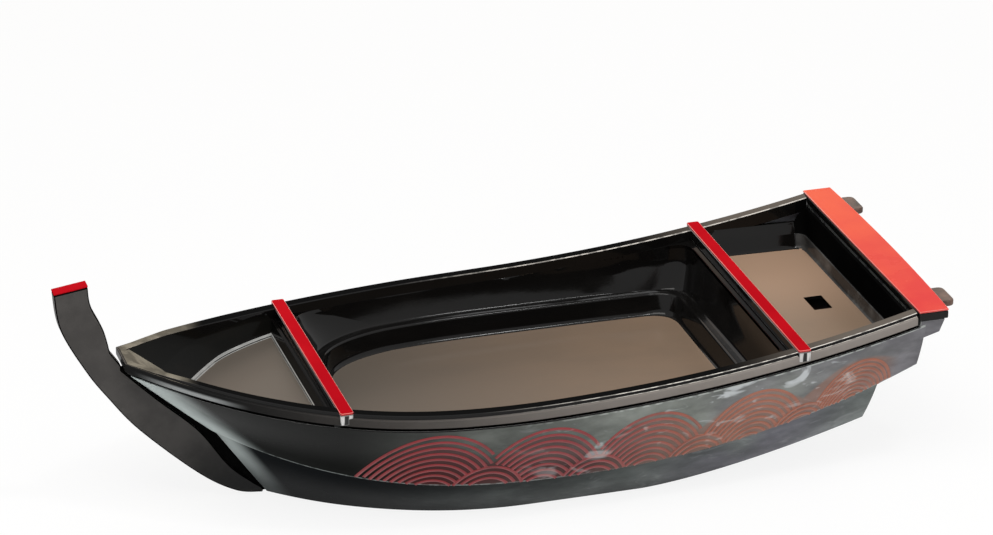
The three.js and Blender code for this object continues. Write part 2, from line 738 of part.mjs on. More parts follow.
function lugShape(side, grow) {
  const middle = side * (STERN_HALF - LUG_INSET);
  const fore = BOARD_AFT_X + LUG_ROOT + grow;
  const aft = BOARD_AFT_X - LUG_REACH;
  const low = middle - LUG_WIDTH / 2 - grow;
  const high = middle + LUG_WIDTH / 2 + grow;
  const shape = new THREE.Shape();
  shape.moveTo(fore, high);
  shape.lineTo(aft + LUG_ROUND, high);
  shape.quadraticCurveTo(aft, high, aft, high - LUG_ROUND);
  shape.lineTo(aft, low + LUG_ROUND);
  shape.quadraticCurveTo(aft, low, aft + LUG_ROUND, low);
  shape.lineTo(fore, low);
  return shape;
}

function makeBoard() {
  const depth = BOARD_THICKNESS - BOARD_CAP;
  const body = solid(plate(boardShape(), depth, 0).translate(0, 0, boardLow));
  const aft = BOARD_AFT_X - 2 * BOARD_ARCH;
  const underside = new THREE.Shape([
    at(aft, boardLow - PAST),
    at(BOARD_AFT_X + BOARD_CHAMFER, boardLow - PAST),
    at(BOARD_AFT_X + BOARD_CHAMFER, boardLow),
    at(aft, boardLow + BOARD_CHAMFER),
  ]);
  const notches = [-1, 1].map((side) => {
    const notch = plate(lugShape(side, FIT), LUG_DROP + LUG_THICKNESS + FIT + PAST, 0);
    return solid(notch.translate(0, 0, boardLow - PAST));
  });
  return body
    .subtract(solid(standing(underside, 3 * STERN_HALF, 0)))
    .subtract(notches[0])
    .subtract(notches[1]);
}

function makeBoardCap() {
  return solid(plate(boardShape(), BOARD_CAP - FIT, CAP_EDGE).translate(0, 0, boardTop - BOARD_CAP + FIT));
}

function makeLug(side) {
  return solid(plate(lugShape(side, 0), LUG_THICKNESS, LUG_EDGE).translate(0, 0, lugLow));
}

// Assembly

const boat = new THREE.Group();

function place(name, body, material) {
  const mesh = new THREE.Mesh(geometryOf(body), material);
  mesh.name = name;
  boat.add(mesh);
}

place('hull_shell', makeHull(), black());
place('deck_moulding', makeDeck(), black());
place('stem_post', makeStem(), matteBlack());
place('stem_tip_cap', makeStemCap(), red());
place('front_crossbar', makeBar(FRONT_BAR_X), black());
place('front_crossbar_cap', makeBarCap(FRONT_BAR_X), red());
place('rear_crossbar', makeBar(REAR_BAR_X), black());
place('rear_crossbar_cap', makeBarCap(REAR_BAR_X), red());
place('transom_board', makeBoard(), black());
place('transom_board_cap', makeBoardCap(), red());
place('port_stern_lug', makeLug(1), matteBlack());
place('starboard_stern_lug', makeLug(-1), matteBlack());

export default boat;
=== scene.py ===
# %% [markdown]
# A sushi boat in black lacquer
#
# The real object is a serving platter shaped like a small cargo boat. It is moulded in black
# plastic with the look of lacquer, has red tops on its crossbars, stem and transom board, and
# carries a row of wave fans on its sides. The packed solids give the sizes and places, and this
# lesson makes the fine surfaces, the finishes, the light and the camera around them.

# %% The fixed frame
import math
from types import SimpleNamespace

import bmesh
import bpy
import numpy as np
from mathutils import Matrix, Vector
from mathutils.geometry import tessellate_polygon


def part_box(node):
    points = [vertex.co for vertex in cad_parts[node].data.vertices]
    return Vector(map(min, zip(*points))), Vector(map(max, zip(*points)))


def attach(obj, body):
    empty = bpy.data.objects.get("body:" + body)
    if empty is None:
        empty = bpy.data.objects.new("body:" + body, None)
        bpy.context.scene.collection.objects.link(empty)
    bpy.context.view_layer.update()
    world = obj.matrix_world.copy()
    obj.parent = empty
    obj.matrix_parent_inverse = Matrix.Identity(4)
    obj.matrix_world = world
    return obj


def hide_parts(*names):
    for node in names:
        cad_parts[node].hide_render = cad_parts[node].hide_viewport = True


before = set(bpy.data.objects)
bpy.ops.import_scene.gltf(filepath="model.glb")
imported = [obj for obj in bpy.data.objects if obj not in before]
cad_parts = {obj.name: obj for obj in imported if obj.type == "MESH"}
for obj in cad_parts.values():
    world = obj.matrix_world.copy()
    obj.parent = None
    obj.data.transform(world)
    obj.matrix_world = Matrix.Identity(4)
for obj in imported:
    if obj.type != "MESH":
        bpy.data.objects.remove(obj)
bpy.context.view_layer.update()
print("nodes", sorted(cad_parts))

# %% [markdown]
# The camera comes first, because every later choice is judged through it. It could be placed by
# eye, but the photograph fixes it: the angles, distance and focal length below put the outline of
# the solids on the outline of the real boat. The lens is long, so the boat shows little perspective.

# %% The camera
MM = 0.001
PHOTO_WIDTH = 993
FOCAL_PIXELS = 4065.8
SENSOR_WIDTH = 36
CAMERA_TURN = 0.292188
CAMERA_TILT = 0.415189
CAMERA_ROLL = -0.001882
CAMERA_DISTANCE = 2833.477 * MM
AIM_RIGHT = -21.408 * MM
AIM_UP = 127.232 * MM
AIM_BASE = Vector((0, 0, 3 * MM))


def make_camera():
    level = math.cos(CAMERA_TILT)
    aside = math.sin(CAMERA_TURN)
    ahead = math.cos(CAMERA_TURN)
    forward = Vector((-aside * level, -ahead * level, -math.sin(CAMERA_TILT)))
    flat_right = Vector((-ahead, aside, 0))
    flat_up = flat_right.cross(forward)
    right = math.cos(CAMERA_ROLL) * flat_right + math.sin(CAMERA_ROLL) * flat_up
    up = math.cos(CAMERA_ROLL) * flat_up - math.sin(CAMERA_ROLL) * flat_right
    place = AIM_BASE + AIM_RIGHT * right + AIM_UP * up - CAMERA_DISTANCE * forward
    camera = bpy.data.objects.new("camera", bpy.data.cameras.new("camera"))
    camera.data.sensor_fit = "HORIZONTAL"
    camera.data.sensor_width = SENSOR_WIDTH
    camera.data.lens = SENSOR_WIDTH * FOCAL_PIXELS / PHOTO_WIDTH
    turned = Matrix((right, up, -forward)).transposed()
    camera.matrix_world = Matrix.Translation(place) @ turned.to_4x4()
    bpy.context.scene.collection.objects.link(camera)
    bpy.context.scene.camera = camera
    return camera


print("camera lens", round(make_camera().data.lens, 1), "mm")

# %% [markdown]
# Node trees are easier to read as sums than as wires. This small class wraps one output socket of a
# shader or geometry tree. An operator on it adds a Math node, and one method adds any other node,
# with its settings first and its sockets after, so a formula can be written once and used on plain
# numbers and on sockets alike.


# %% Sockets with operators
class Flow:
    """One output socket of a node tree that can be used like a number."""

    def __init__(self, tree, socket=None):
        self.tree = tree
        self.socket = socket

    def add(self, kind, settings=None, sockets=None, outlet=0):
        node = self.tree.nodes.new(kind)
        for name, value in (settings or {}).items():
            setattr(node, name, value)
        for key, value in (sockets or {}).items():
            inlet = find_socket(node.inputs, key)
            if isinstance(value, Flow):
                self.tree.links.new(value.socket, inlet)
            else:
                inlet.default_value = value
        return Flow(self.tree, find_socket(node.outputs, outlet) if node.outputs else None)

    def out(self, name):
        return Flow(self.tree, find_socket(self.socket.node.outputs, name))

    def maths(self, operation, other=0.0):
        """This value through a Math node, with another value for operations that take two."""
        return self.add("ShaderNodeMath", {"operation": operation}, {0: self, 1: other})

    def turned_round(self, operation, other):
        return self.add("ShaderNodeMath", {"operation": operation}, {0: other, 1: self})

    def __add__(self, other):
        return self.maths("ADD", other)

    __radd__ = __add__

    def __sub__(self, other):
        return self.maths("SUBTRACT", other)

    def __rsub__(self, other):
        return self.turned_round("SUBTRACT", other)

    def __mul__(self, other):
        return self.maths("MULTIPLY", other)

    __rmul__ = __mul__

    def __truediv__(self, other):
        return self.maths("DIVIDE", other)

    def __rtruediv__(self, other):
        return self.turned_round("DIVIDE", other)

    def __pow__(self, other):
        return self.maths("POWER", other)

    def clamped(self):
        kind = {"operation": "ADD", "use_clamp": True}
        return self.add("ShaderNodeMath", kind, {0: self, 1: 0.0})

    def ramp(self, low, high):
        """0 below low and 1 above high, with a smooth step between them."""
        kind = {"interpolation_type": "SMOOTHSTEP"}
        return self.add("ShaderNodeMapRange", kind, {"Value": self, "From Min": low, "From Max": high})

    def blend(self, first, second):
        """The colour between two colours, with this value as the share of the second."""
        a, b = (color if isinstance(color, Flow) else (*color, 1) for color in (first, second))
        sockets = {"Factor_Float": self, "A_Color": a, "B_Color": b}
        return self.add("ShaderNodeMix", {"data_type": "RGBA"}, sockets, "Result_Color")


def find_socket(sockets, key):
    """A socket by its number, its identifier or its name."""
    if isinstance(key, int):
        return sockets[key]
    for socket in sockets:
        if socket.identifier == key:
            return socket
    return sockets[key]


print("operators ready:", Flow.__doc__)

# %% [markdown]
# The lines of the boat are the curves that a boat builder draws first: the rim, the chine where the
# two strakes of the side meet, and the edge of the flat bottom. Each is a formula in the distance
# along the boat. They could be drawn as curves by hand, but a formula keeps them fair, and every
# piece that follows a line can ask it for a place. The beam and the ends are read from the frame.

# %% Main sizes
hull_low, hull_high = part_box("hull_shell")
deck_low, deck_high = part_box("deck_moulding")

BOAT = SimpleNamespace(
    beam_half=deck_high.y,
    bow_x=deck_high.x,
    bow_half=14.5 * MM,
    bow_fullness=2.5,
    transom_x=-248.5 * MM,
    stern_taper=5.8 * MM,
    stern_fullness=2,
    sheer_low=84.3 * MM,
    sheer_low_x=68 * MM,
    bow_sheer=24.5 * MM,
    bow_sheer_power=2.2,
    stern_sheer=31.8 * MM,
    stern_sheer_power=2.3,
    hull_bow_x=hull_high.x,
    chine_bow_x=226 * MM,
    chine_full_x=-20 * MM,
    chine_flare=19 * MM,
    chine_bow_half=8 * MM,
    chine_fullness=3,
    chine_low=30 * MM,
    chine_bow_rise=24.3 * MM,
    chine_bow_power=2.6,
    chine_stern_rise=49.2 * MM,
    chine_stern_power=2.15,
    lower_transom_x=-221.5 * MM,
    bottom_half=73.5 * MM,
    bottom_full_x=20 * MM,
    bottom_fullness=2.1,
    bottom_stern_taper=3.5 * MM,
    foot_x=188 * MM,
    foot_half=5 * MM,
    foot_rise=1.5 * MM,
    foot_rise_x=140 * MM,
    foot_rise_power=2,
    rocker_x=-58 * MM,
    rocker_rise=30 * MM,
    rocker_power=1.5,
    strake_crown=1.2 * MM,
    strake_lap=1.3 * MM,
    shadow_gap=1.6 * MM,
)
print("beam", round(2 * BOAT.beam_half, 4), "m")

# %% [markdown]
# Each line is straight amidships and bends towards the ends. A power of the distance does that: it
# is nothing where the bend starts and full where it ends, and the power says how late the line
# turns. The same functions work on numbers, on arrays and on sockets.


# %% Lines of the boat
def positive(value):
    if isinstance(value, Flow):
        return value.maths("MAXIMUM", 0.0)
    return np.maximum(value, 0.0)


def mix(first, second, share):
    return first + (second - first) * share


def rise(x, start, end, power):
    """0 up to the start and 1 at the end, along a power curve."""
    return positive((x - start) / (end - start)) ** power


def rim_half(x, boat=BOAT):
    bow = (boat.beam_half - boat.bow_half) * rise(x, 0, boat.bow_x, boat.bow_fullness)
    stern = boat.stern_taper * rise(x, 0, boat.transom_x, boat.stern_fullness)
    return boat.beam_half - bow - stern


def rim_height(x, boat=BOAT):
    bow = boat.bow_sheer * rise(x, boat.sheer_low_x, boat.bow_x, boat.bow_sheer_power)
    stern = boat.stern_sheer * rise(x, boat.sheer_low_x, boat.transom_x, boat.stern_sheer_power)
    return boat.sheer_low + bow + stern


def chine_half(x, boat=BOAT):
    full = boat.beam_half - boat.chine_flare
    narrowing = rise(x, boat.chine_full_x, boat.chine_bow_x, boat.chine_fullness)
    return full - (full - boat.chine_bow_half) * narrowing


def chine_height(x, boat=BOAT):
    bow = boat.chine_bow_rise * rise(x, 0, boat.chine_bow_x, boat.chine_bow_power)
    stern = boat.chine_stern_rise * rise(x, 0, boat.transom_x, boat.chine_stern_power)
    return boat.chine_low + bow + stern


def bottom_half(x, boat=BOAT):
    narrowing = rise(x, boat.bottom_full_x, boat.foot_x, boat.bottom_fullness)
    bow = (boat.bottom_half - boat.foot_half) * narrowing
    taper = rise(x, boat.bottom_full_x, boat.lower_transom_x, boat.stern_fullness)
    return boat.bottom_half - bow - boat.bottom_stern_taper * taper


def bottom_height(x, boat=BOAT):
    bow = boat.foot_rise * rise(x, boat.foot_rise_x, boat.foot_x, boat.foot_rise_power)
    return bow + boat.rocker_rise * rise(x, boat.rocker_x, boat.lower_transom_x, boat.rocker_power)


print("rim half breadth amidships", round(float(rim_half(0.0)), 4), "m")

# %% [markdown]
# A strake is the run of planking between two lines. A point on it has a share along the boat and a
# share up the strake. It lies on the straight ruling between that share of the lower line and the
# same share of the upper one, with a slight bulge outwards. The half breadth is the same on both
# sides, so one formula serves port and starboard.


# %% Strakes between the lines
def bulge(up):
    """0 at both edges of a strake and 1 half way up."""
    return 4 * up * (1 - up)


def upper_strake(along, up, boat=BOAT):
    """Place, on the port side, of a share along and a share up the upper strake."""
    low_x = mix(boat.transom_x, boat.chine_bow_x, along)
    high_x = mix(boat.transom_x, boat.hull_bow_x, along)
    crown = boat.strake_crown * bulge(up)
    half = mix(chine_half(low_x, boat), rim_half(high_x, boat), up) + crown
    height = mix(chine_height(low_x, boat), rim_height(high_x, boat) - boat.shadow_gap, up)
    return mix(low_x, high_x, up), half, height


def lower_strake(along, up, boat=BOAT):
    """Place, on the port side, of a share along and a share up the lower strake."""
    low_x = mix(boat.lower_transom_x, boat.foot_x, along)
    high_x = mix(boat.lower_transom_x, boat.chine_bow_x - boat.strake_lap, along)
    crown = boat.strake_crown * bulge(up)
    half = mix(bottom_half(low_x, boat), chine_half(high_x, boat) - boat.strake_lap, up) + crown
    height = mix(bottom_height(low_x, boat), chine_height(high_x, boat) + boat.strake_lap, up)
    return mix(low_x, high_x, up), half, height


print("middle of the upper strake", [round(float(v), 4) for v in upper_strake(0.5, 0.5)])

# %% [markdown]
# Most pieces here are closed skins through rings of points. This helper collects rings, bridges
# neighbours with four-sided faces and closes the ends. Blender's own bridge and fill tools could do
# the same, but a plain list of points and faces is easy to follow and comes out alike on each run.


# %% Rings of points and their faces
class Mould:
    """Rings of points and the faces between them."""

    def __init__(self):
        self.points = []
        self.faces = []

    def ring(self, points):
        start = len(self.points)
        self.points.extend(tuple(float(v) for v in p) for p in points)
        return list(range(start, len(self.points)))

    def bridge(self, first, second, closed=True):
        count = len(first)
        for i in range(count if closed else count - 1):
            j = (i + 1) % count
            self.faces.append((first[i], first[j], second[j], second[i]))

    def loft(self, rings):
        made = [self.ring(points) for points in rings]
        for first, second in zip(made, made[1:]):
            self.bridge(first, second)
        return made

    def cap(self, ring):
        """Closes a ring whose second half mirrors its first half."""
        count = len(ring)
        for i in range(count // 2):
            face = (ring[i], ring[i + 1], ring[count - 2 - i], ring[count - 1 - i])
            if len(set(face)) > 2:
                self.faces.append(tuple(dict.fromkeys(face)))

    def solid(self, rings):
        made = self.loft(rings)
        self.faces.append(tuple(made[0]))
        self.faces.append(tuple(reversed(made[-1])))

    def mesh(self, name):
        mesh = bpy.data.meshes.new(name)
        mesh.from_pydata(self.points, [], self.faces)
        return mesh


print("steps of a mould:", [step for step in vars(Mould) if not step.startswith("_")])

# %% [markdown]
# Every mesh is finished in the same way: close points are merged, faces are turned outwards, and
# shading is smooth except over real edges. A Bevel modifier then rounds the edges, because a moulded
# edge always catches a thin line of light. Last, each piece takes its finishes, the last of them for
# the rounded edges, is attached to the body it rides on and is named after the solid of the frame
# that it stands for, which is then hidden.

# %% Finished pieces
MERGE = 0.004 * MM
EDGE_SEGMENTS = 3
SHARP_ANGLE = math.radians(34)


def tidy_mesh(mesh):
    work = bmesh.new()
    work.from_mesh(mesh)
    bmesh.ops.remove_doubles(work, verts=work.verts, dist=MERGE)
    bmesh.ops.dissolve_degenerate(work, edges=work.edges, dist=MERGE)
    bmesh.ops.recalc_face_normals(work, faces=work.faces)
    work.to_mesh(mesh)
    work.free()
    mesh.shade_smooth()
    mesh.set_sharp_from_angle(angle=SHARP_ANGLE)
    return mesh


def joined_mesh(name, meshes):
    work = bmesh.new()
    for mesh in meshes:
        work.from_mesh(mesh)
    whole = bpy.data.meshes.new(name)
    work.to_mesh(whole)
    work.free()
    return whole


def place_piece(mesh, node, materials, bevel=0.0):
    """A finished piece that stands for one node of the frame."""
    piece = bpy.data.objects.new(node + "_skin", tidy_mesh(mesh))
    bpy.context.scene.collection.objects.link(piece)
    for material in materials:
        piece.data.materials.append(material)
    if bevel:
        edge = piece.modifiers.new("rounded_edges", "BEVEL")
        edge.width = bevel
        edge.segments = EDGE_SEGMENTS
        edge.limit_method = "ANGLE"
        edge.angle_limit = SHARP_ANGLE
        edge.harden_normals = True
        edge.material = len(materials) - 1
    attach(piece, "root")
    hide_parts(node)
    print(piece.name, len(piece.data.polygons), "faces")
    return piece


def rounded(points, radii, steps=4):
    """A closed outline with each corner replaced by a curve of the given reach."""
    corners = [np.array(p, float) for p in points]
    made = []
    for i, (corner, radius) in enumerate(zip(corners, radii)):
        if radius == 0:
            made.append(corner)
            continue
        before = corners[i - 1] - corner
        after = corners[(i + 1) % len(corners)] - corner
        start = corner + before * radius / np.linalg.norm(before)
        end = corner + after * radius / np.linalg.norm(after)
        for t in np.linspace(0, 1, steps + 1):
            made.append(mix(mix(start, corner, t), mix(corner, end, t), t))
    return made


print("merge distance", MERGE, "m")

# %% [markdown]
# Black lacquer is a deep gloss over a black ground. On moulded plastic it is never optically flat:
# a faint orange peel and long soft waves bend the reflections, and handling leaves a thin grey haze
# that is stronger in some places than in others. The waves go into a Bump node, and the haze into
# the colour and the roughness. Nothing here depends on the camera, so the finish holds from any
# side. In paler tones the same finish is painted light: highlights on edges and on the tray's step,
# and a reflection at the foot of the aft wall. In a dull black without reflection it is painted
# shade on the aft wall and the stem's tongue.

# %% Black lacquer
PEEL_SCALE = 420
PEEL_SHARE = 0.05
WAVE_DEPTH = 0.6 * MM
THIN_HAZE = 0.6
PAINTED_LIGHT_SHARE = 0.9


def new_material(name):
    material = bpy.data.materials.new(name)
    material.use_nodes = True
    material.node_tree.nodes.clear()
    return material, Flow(material.node_tree)


def noise(start, scale, detail=3.0, roughness=0.5, stretch=None, swirl=0.0):
    place = start.add("ShaderNodeTexCoord").out("Object")
    if stretch:
        place = start.add("ShaderNodeMapping", None, {"Vector": place, "Scale": stretch})
    sockets = {"Vector": place, "Scale": scale, "Detail": detail, "Roughness": roughness, "Distortion": swirl}
    return start.add("ShaderNodeTexNoise", None, sockets)


def bump(start, height, strength, distance):
    return start.add("ShaderNodeBump", None, {"Height": height, "Strength": strength, "Distance": distance})


def finish_material(start, sockets):
    shader = start.add("ShaderNodeBsdfPrincipled", None, sockets)
    start.add("ShaderNodeOutputMaterial", None, {"Surface": shader})


def black_lacquer(name, ground, haze_and_sheen_color, haze_and_sheen_share, roughness, specular):
    """Black with waves, orange peel and a haze of clouds and wipes; paler tones make it painted light."""
    material, start = new_material(name)
    waves = noise(start, 26, detail=2.0)
    peel = noise(start, PEEL_SCALE, detail=2.0)
    cloud = noise(start, 9, detail=5.0, roughness=0.6, stretch=(1.0, 1.0, 1.8))
    wipes = noise(start, 30, detail=4.0, roughness=0.65, stretch=(0.35, 1.0, 1.4))
    haze_and_sheen = (cloud.ramp(0.42, 0.72) * 0.7 + wipes.ramp(0.5, 0.75) * 0.5).clamped()
    sockets = {
        "Base Color": (haze_and_sheen * haze_and_sheen_share).blend(ground, haze_and_sheen_color),
        "Roughness": roughness + haze_and_sheen * 0.10,
        "Normal": bump(start, waves + peel * PEEL_SHARE, strength=0.25, distance=WAVE_DEPTH),
        "Specular IOR Level": specular,
    }
    finish_material(start, sockets)
    return material


deck_lacquer = black_lacquer(
    "deck_lacquer", (0.004, 0.0037, 0.0035), (0.010, 0.009, 0.008), THIN_HAZE, roughness=0.07, specular=0.2
)
# Painted shade: a dull black with no reflection, for the aft end wall and the stem's tongue.
painted_shade_black = black_lacquer(
    "painted_shade_black", (0.002, 0.002, 0.002), (0.006, 0.006, 0.006), THIN_HAZE, roughness=0.3, specular=0.0
)
dim_black = black_lacquer(
    "dim_black", (0.004, 0.004, 0.0035), (0.012, 0.010, 0.008), THIN_HAZE, roughness=0.12, specular=0.04
)
# Painted highlight for rounded edges: pale grey on the bevels of the hull and the crossbars.
painted_edge_highlight = black_lacquer(
    "painted_edge_highlight", (0.16, 0.16, 0.155), (0.52, 0.52, 0.50), PAINTED_LIGHT_SHARE, roughness=0.3, specular=0.5
)
# Painted highlight for the step round the floor of the bow tray.
painted_step_highlight = black_lacquer(
    "painted_step_highlight", (0.26, 0.26, 0.25), (0.70, 0.70, 0.68), PAINTED_LIGHT_SHARE, roughness=0.25, specular=0.5
)
# Painted reflection: a mottled grey for the foot of the aft well's end wall.
painted_wall_reflection = black_lacquer(
    "painted_wall_reflection", (0.020, 0.020, 0.020), (0.19, 0.185, 0.175), PAINTED_LIGHT_SHARE, roughness=0.2, specular=0.1
)
plain_blacks = (deck_lacquer, painted_shade_black, dim_black, painted_edge_highlight, painted_step_highlight, painted_wall_reflection)
print("made", [finish.name for finish in plain_blacks])

# %% [markdown]
# The sides are black from the bow to amidships and grow hazy towards the stern. The haze is partly
# real and partly painted reflection, a few bright wipes in it are painted highlights, and a thin
# reddish glaze lies under the wave fans. Such marks could be painted on a picture. Here each is a
# mask from 0 to 1, written in places along the boat and in noise, so that it can be moved by
# changing a number and needs no unwrapped surface.

# %% Marks on the sides
HAZE_SHEEN_FADE = (-30 * MM, 160 * MM)
HAZE_SHEEN_STERN = (-262 * MM, -235 * MM)
HIGHLIGHT_WIPES_FORE = (-80 * MM, 70 * MM)
HIGHLIGHT_WIPES_AFT = (-225 * MM, -190 * MM)
FAN_PITCH = 73.5 * MM
FAN_FIRST_X = 94 * MM
FAN_CREST = 0.38
GLAZE_AFT = (-235 * MM, -215 * MM)
GLAZE_FORE = (100 * MM, 140 * MM)


def boat_place(start, axis):
    """The place along one axis of the boat, in metres."""
    place = start.add("ShaderNodeTexCoord").out("Object")
    return start.add("ShaderNodeSeparateXYZ", None, {"Vector": place}).out(axis)


def boat_x(start):
    return boat_place(start, "X")


def plank_share(start, name):
    """A share that a plank model carries, such as the share along or up a strake."""
    return start.add("ShaderNodeAttribute", {"attribute_name": name}).out("Fac")


def side_haze_and_sheen(start):
    """Grey haze and painted reflection on the sides: none at the bow, then clouds up to the stern."""
    x = boat_x(start)
    aft = (1 - x.ramp(*HAZE_SHEEN_FADE)) * (0.72 + 0.28 * x.ramp(*HAZE_SHEEN_STERN))
    cloud = noise(start, 24, detail=5.0, roughness=0.6, stretch=(0.6, 1.0, 1.3)).ramp(0.35, 0.7)
    return (aft * (0.28 + cloud * 0.34)).clamped()


def painted_highlight_wipes(start):
    """Sparse painted highlights, in wipes from amidships to a little before the stern."""
    x = boat_x(start)
    where = (1 - x.ramp(*HIGHLIGHT_WIPES_FORE)) * x.ramp(*HIGHLIGHT_WIPES_AFT)
    wide = noise(start, 48, detail=3.0, roughness=0.55, stretch=(0.55, 1.0, 1.0), swirl=1.2)
    fine = noise(start, 130, detail=2.0, roughness=0.5, stretch=(0.5, 1.0, 1.2), swirl=0.8)
    return (where * (wide.ramp(0.57, 0.70) + fine.ramp(0.62, 0.74) * 0.55)).clamped()


def fan_glaze(start, up):
    """1 where the wave fans lie on the upper strake: scallops with one crest to each fan."""
    x = boat_x(start)
    turn = (x - FAN_FIRST_X) * (math.pi / FAN_PITCH)
    crest = FAN_CREST + FAN_CREST * turn.maths("COSINE").maths("ABSOLUTE")
    ends = x.ramp(*GLAZE_AFT) * (1 - x.ramp(*GLAZE_FORE))
    return (1 - (up - crest).ramp(-0.04, 0.04)) * ends


print("fans stand", round(FAN_PITCH / MM, 1), "mm apart")

# %% [markdown]
# More marks follow the edges of a strake: painted shade thins the haze by the chine, a pale painted
# reflection lies on the planking beside the stem, and thin painted highlights run along the chine
# and below the rail, with a black line of painted shade right under the rail. Object coordinates
# can't follow an edge that bends, so these masks read the shares along and up the strake, which the
# plank models carry as attributes.

# %% Marks along the edges of the strakes
CHINE_SHADE_FORE = (-100 * MM, 20 * MM)
GREEN_FORE = (-120 * MM, -40 * MM)
BOW_REFLECTION_END = 0.99
HIGHLIGHT_STERN = (-190 * MM, -140 * MM)
HIGHLIGHT_BOW = (-60 * MM, 40 * MM)
TOP_HIGHLIGHT_FORE = (-60 * MM, 60 * MM)
RAIL_SHADE_AFT = (-246.5 * MM, -243 * MM)
CHINE_HIGHLIGHT_COLOR = (0.36, 0.40, 0.39)
TOP_HIGHLIGHT_COLOR = (0.50, 0.53, 0.50)
UNDER_RAIL_SHADE_COLOR = (0.003, 0.003, 0.003)


def side_sheen_with_shade(start, painted_shade_edge):
    """The haze and painted reflection, thinned forward by painted shade along the edge by the chine."""
    return side_haze_and_sheen(start) * (1 - 0.55 * painted_shade_edge * boat_x(start).ramp(*CHINE_SHADE_FORE))


def side_cool(start):
    """Where the haze and painted reflection turn from green to violet: in clouds, and not forward."""
    return noise(start, 9, detail=2.0).ramp(0.42, 0.6) * (1 - boat_x(start).ramp(*GREEN_FORE))


def bow_painted_reflection(start, edge):
    """A pale painted reflection beside the stem, from a share along the strake to its end."""
    cloud = noise(start, 50, detail=4.0, roughness=0.6)
    return plank_share(start, "along").ramp(edge, BOW_REFLECTION_END) * (0.7 + cloud * 0.5)


def painted_edge_lines(start, up, color):
    """Painted highlights in broken lines at the chine and below the rail, and painted shade under it."""
    x = boat_x(start)
    broken = noise(start, 170, detail=2.0).ramp(0.40, 0.54)
    ends = x.ramp(*HIGHLIGHT_BOW) * 0.6 + (1 - x.ramp(*HIGHLIGHT_STERN))
    chine_highlight = (1 - up.ramp(0.008, 0.028)) * ends * (0.4 + broken * 0.6)
    color = chine_highlight.clamped().blend(color, CHINE_HIGHLIGHT_COLOR)
    top_highlight = up.ramp(0.948, 0.956) * broken * (1 - x.ramp(*TOP_HIGHLIGHT_FORE)) * 0.7
    color = top_highlight.blend(color, TOP_HIGHLIGHT_COLOR)
    under_rail_shade = up.ramp(0.972, 0.980) * x.ramp(*RAIL_SHADE_AFT)
    return under_rail_shade.blend(color, UNDER_RAIL_SHADE_COLOR)


print("the black line under the rail fades in over", round(-np.subtract(*RAIL_SHADE_AFT) / MM, 1), "mm")

# %% [markdown]
# The lacquer of the two strakes is put together from all those marks. A deep black is only black
# where it mirrors nothing. One shader with a varying specular level would do, but an export loses
# that, so each strake mixes a dull and a shiny shader. The share of the shiny one is small towards
# the chine and larger in the haze.

# %% Lacquer of the strakes
HIGHLIGHT_WHITE = (0.72, 0.76, 0.78)
BOW_REFLECTION = (0.52, 0.58, 0.57)
RUST_GLAZE = (0.30, 0.155, 0.110)
RED_GLAZE = (0.085, 0.020, 0.022)
LIT_EDGE = (0.52, 0.36, 0.31)
UPPER_BLACK = (0.006, 0.0065, 0.006)
UPPER_GREEN = (0.50, 0.54, 0.49)
UPPER_VIOLET = (0.52, 0.51, 0.55)
LOWER_BLACK = (0.006, 0.007, 0.008)
LOWER_GREEN = (0.24, 0.27, 0.26)
LOWER_VIOLET = (0.25, 0.25, 0.29)
RUST_TO_RED = (-120 * MM, 0.0)
CHINE_SHADE = (0.2, 0.85)
VIOLET_STERN = (-250 * MM, -170 * MM)
GREEN_STERN = (-220 * MM, -150 * MM)
PALE_STERN = (-190 * MM, -50 * MM)
LIT_EDGE_FORE = (-170 * MM, -60 * MM)


def strake_shader(start, color, haze_and_sheen, painted_shade_edge, polish):
    """A mix of a dull and a shiny shader of one colour."""
    waves = noise(start, 34, detail=3.0)
    peel = noise(start, PEEL_SCALE, detail=2.0)
    sockets = {
        "Base Color": color,
        "Roughness": 0.12 + haze_and_sheen * 0.16,
        "Normal": bump(start, waves + peel * PEEL_SHARE, strength=0.35, distance=WAVE_DEPTH),
    }
    dull = start.add("ShaderNodeBsdfPrincipled", None, {**sockets, "Specular IOR Level": 0.0})
    shiny = start.add("ShaderNodeBsdfPrincipled", None, {**sockets, "Specular IOR Level": 0.5})
    shine = (polish * (1 - painted_shade_edge * 0.85) + haze_and_sheen * 0.3).clamped()
    both = start.add("ShaderNodeMixShader", None, {0: shine, 1: dull, 2: shiny})
    start.add("ShaderNodeOutputMaterial", None, {"Surface": both})


def upper_strake_lacquer(name):
    material, start = new_material(name)
    x = boat_x(start)
    up = plank_share(start, "up")
    # Painted shade along the chine, at the foot of the upper strake.
    painted_shade_edge = (1 - up).ramp(*CHINE_SHADE)
    haze_and_sheen = side_sheen_with_shade(start, painted_shade_edge)
    cool = (side_cool(start) + 1 - x.ramp(*VIOLET_STERN)).clamped()
    haze_and_sheen_color = cool.blend(UPPER_GREEN, UPPER_VIOLET)
    color = (haze_and_sheen * 0.85).clamped().blend(UPPER_BLACK, haze_and_sheen_color)
    glaze = x.ramp(*RUST_TO_RED).blend(RUST_GLAZE, RED_GLAZE)
    color = (fan_glaze(start, up) * 0.6).blend(color, glaze)
    color = (painted_highlight_wipes(start) * 0.65).blend(color, HIGHLIGHT_WHITE)
    color = painted_edge_lines(start, up, color)
    color = bow_painted_reflection(start, edge=0.925).clamped().blend(color, BOW_REFLECTION)
    strake_shader(start, color, haze_and_sheen, painted_shade_edge, polish=0.3)
    return material


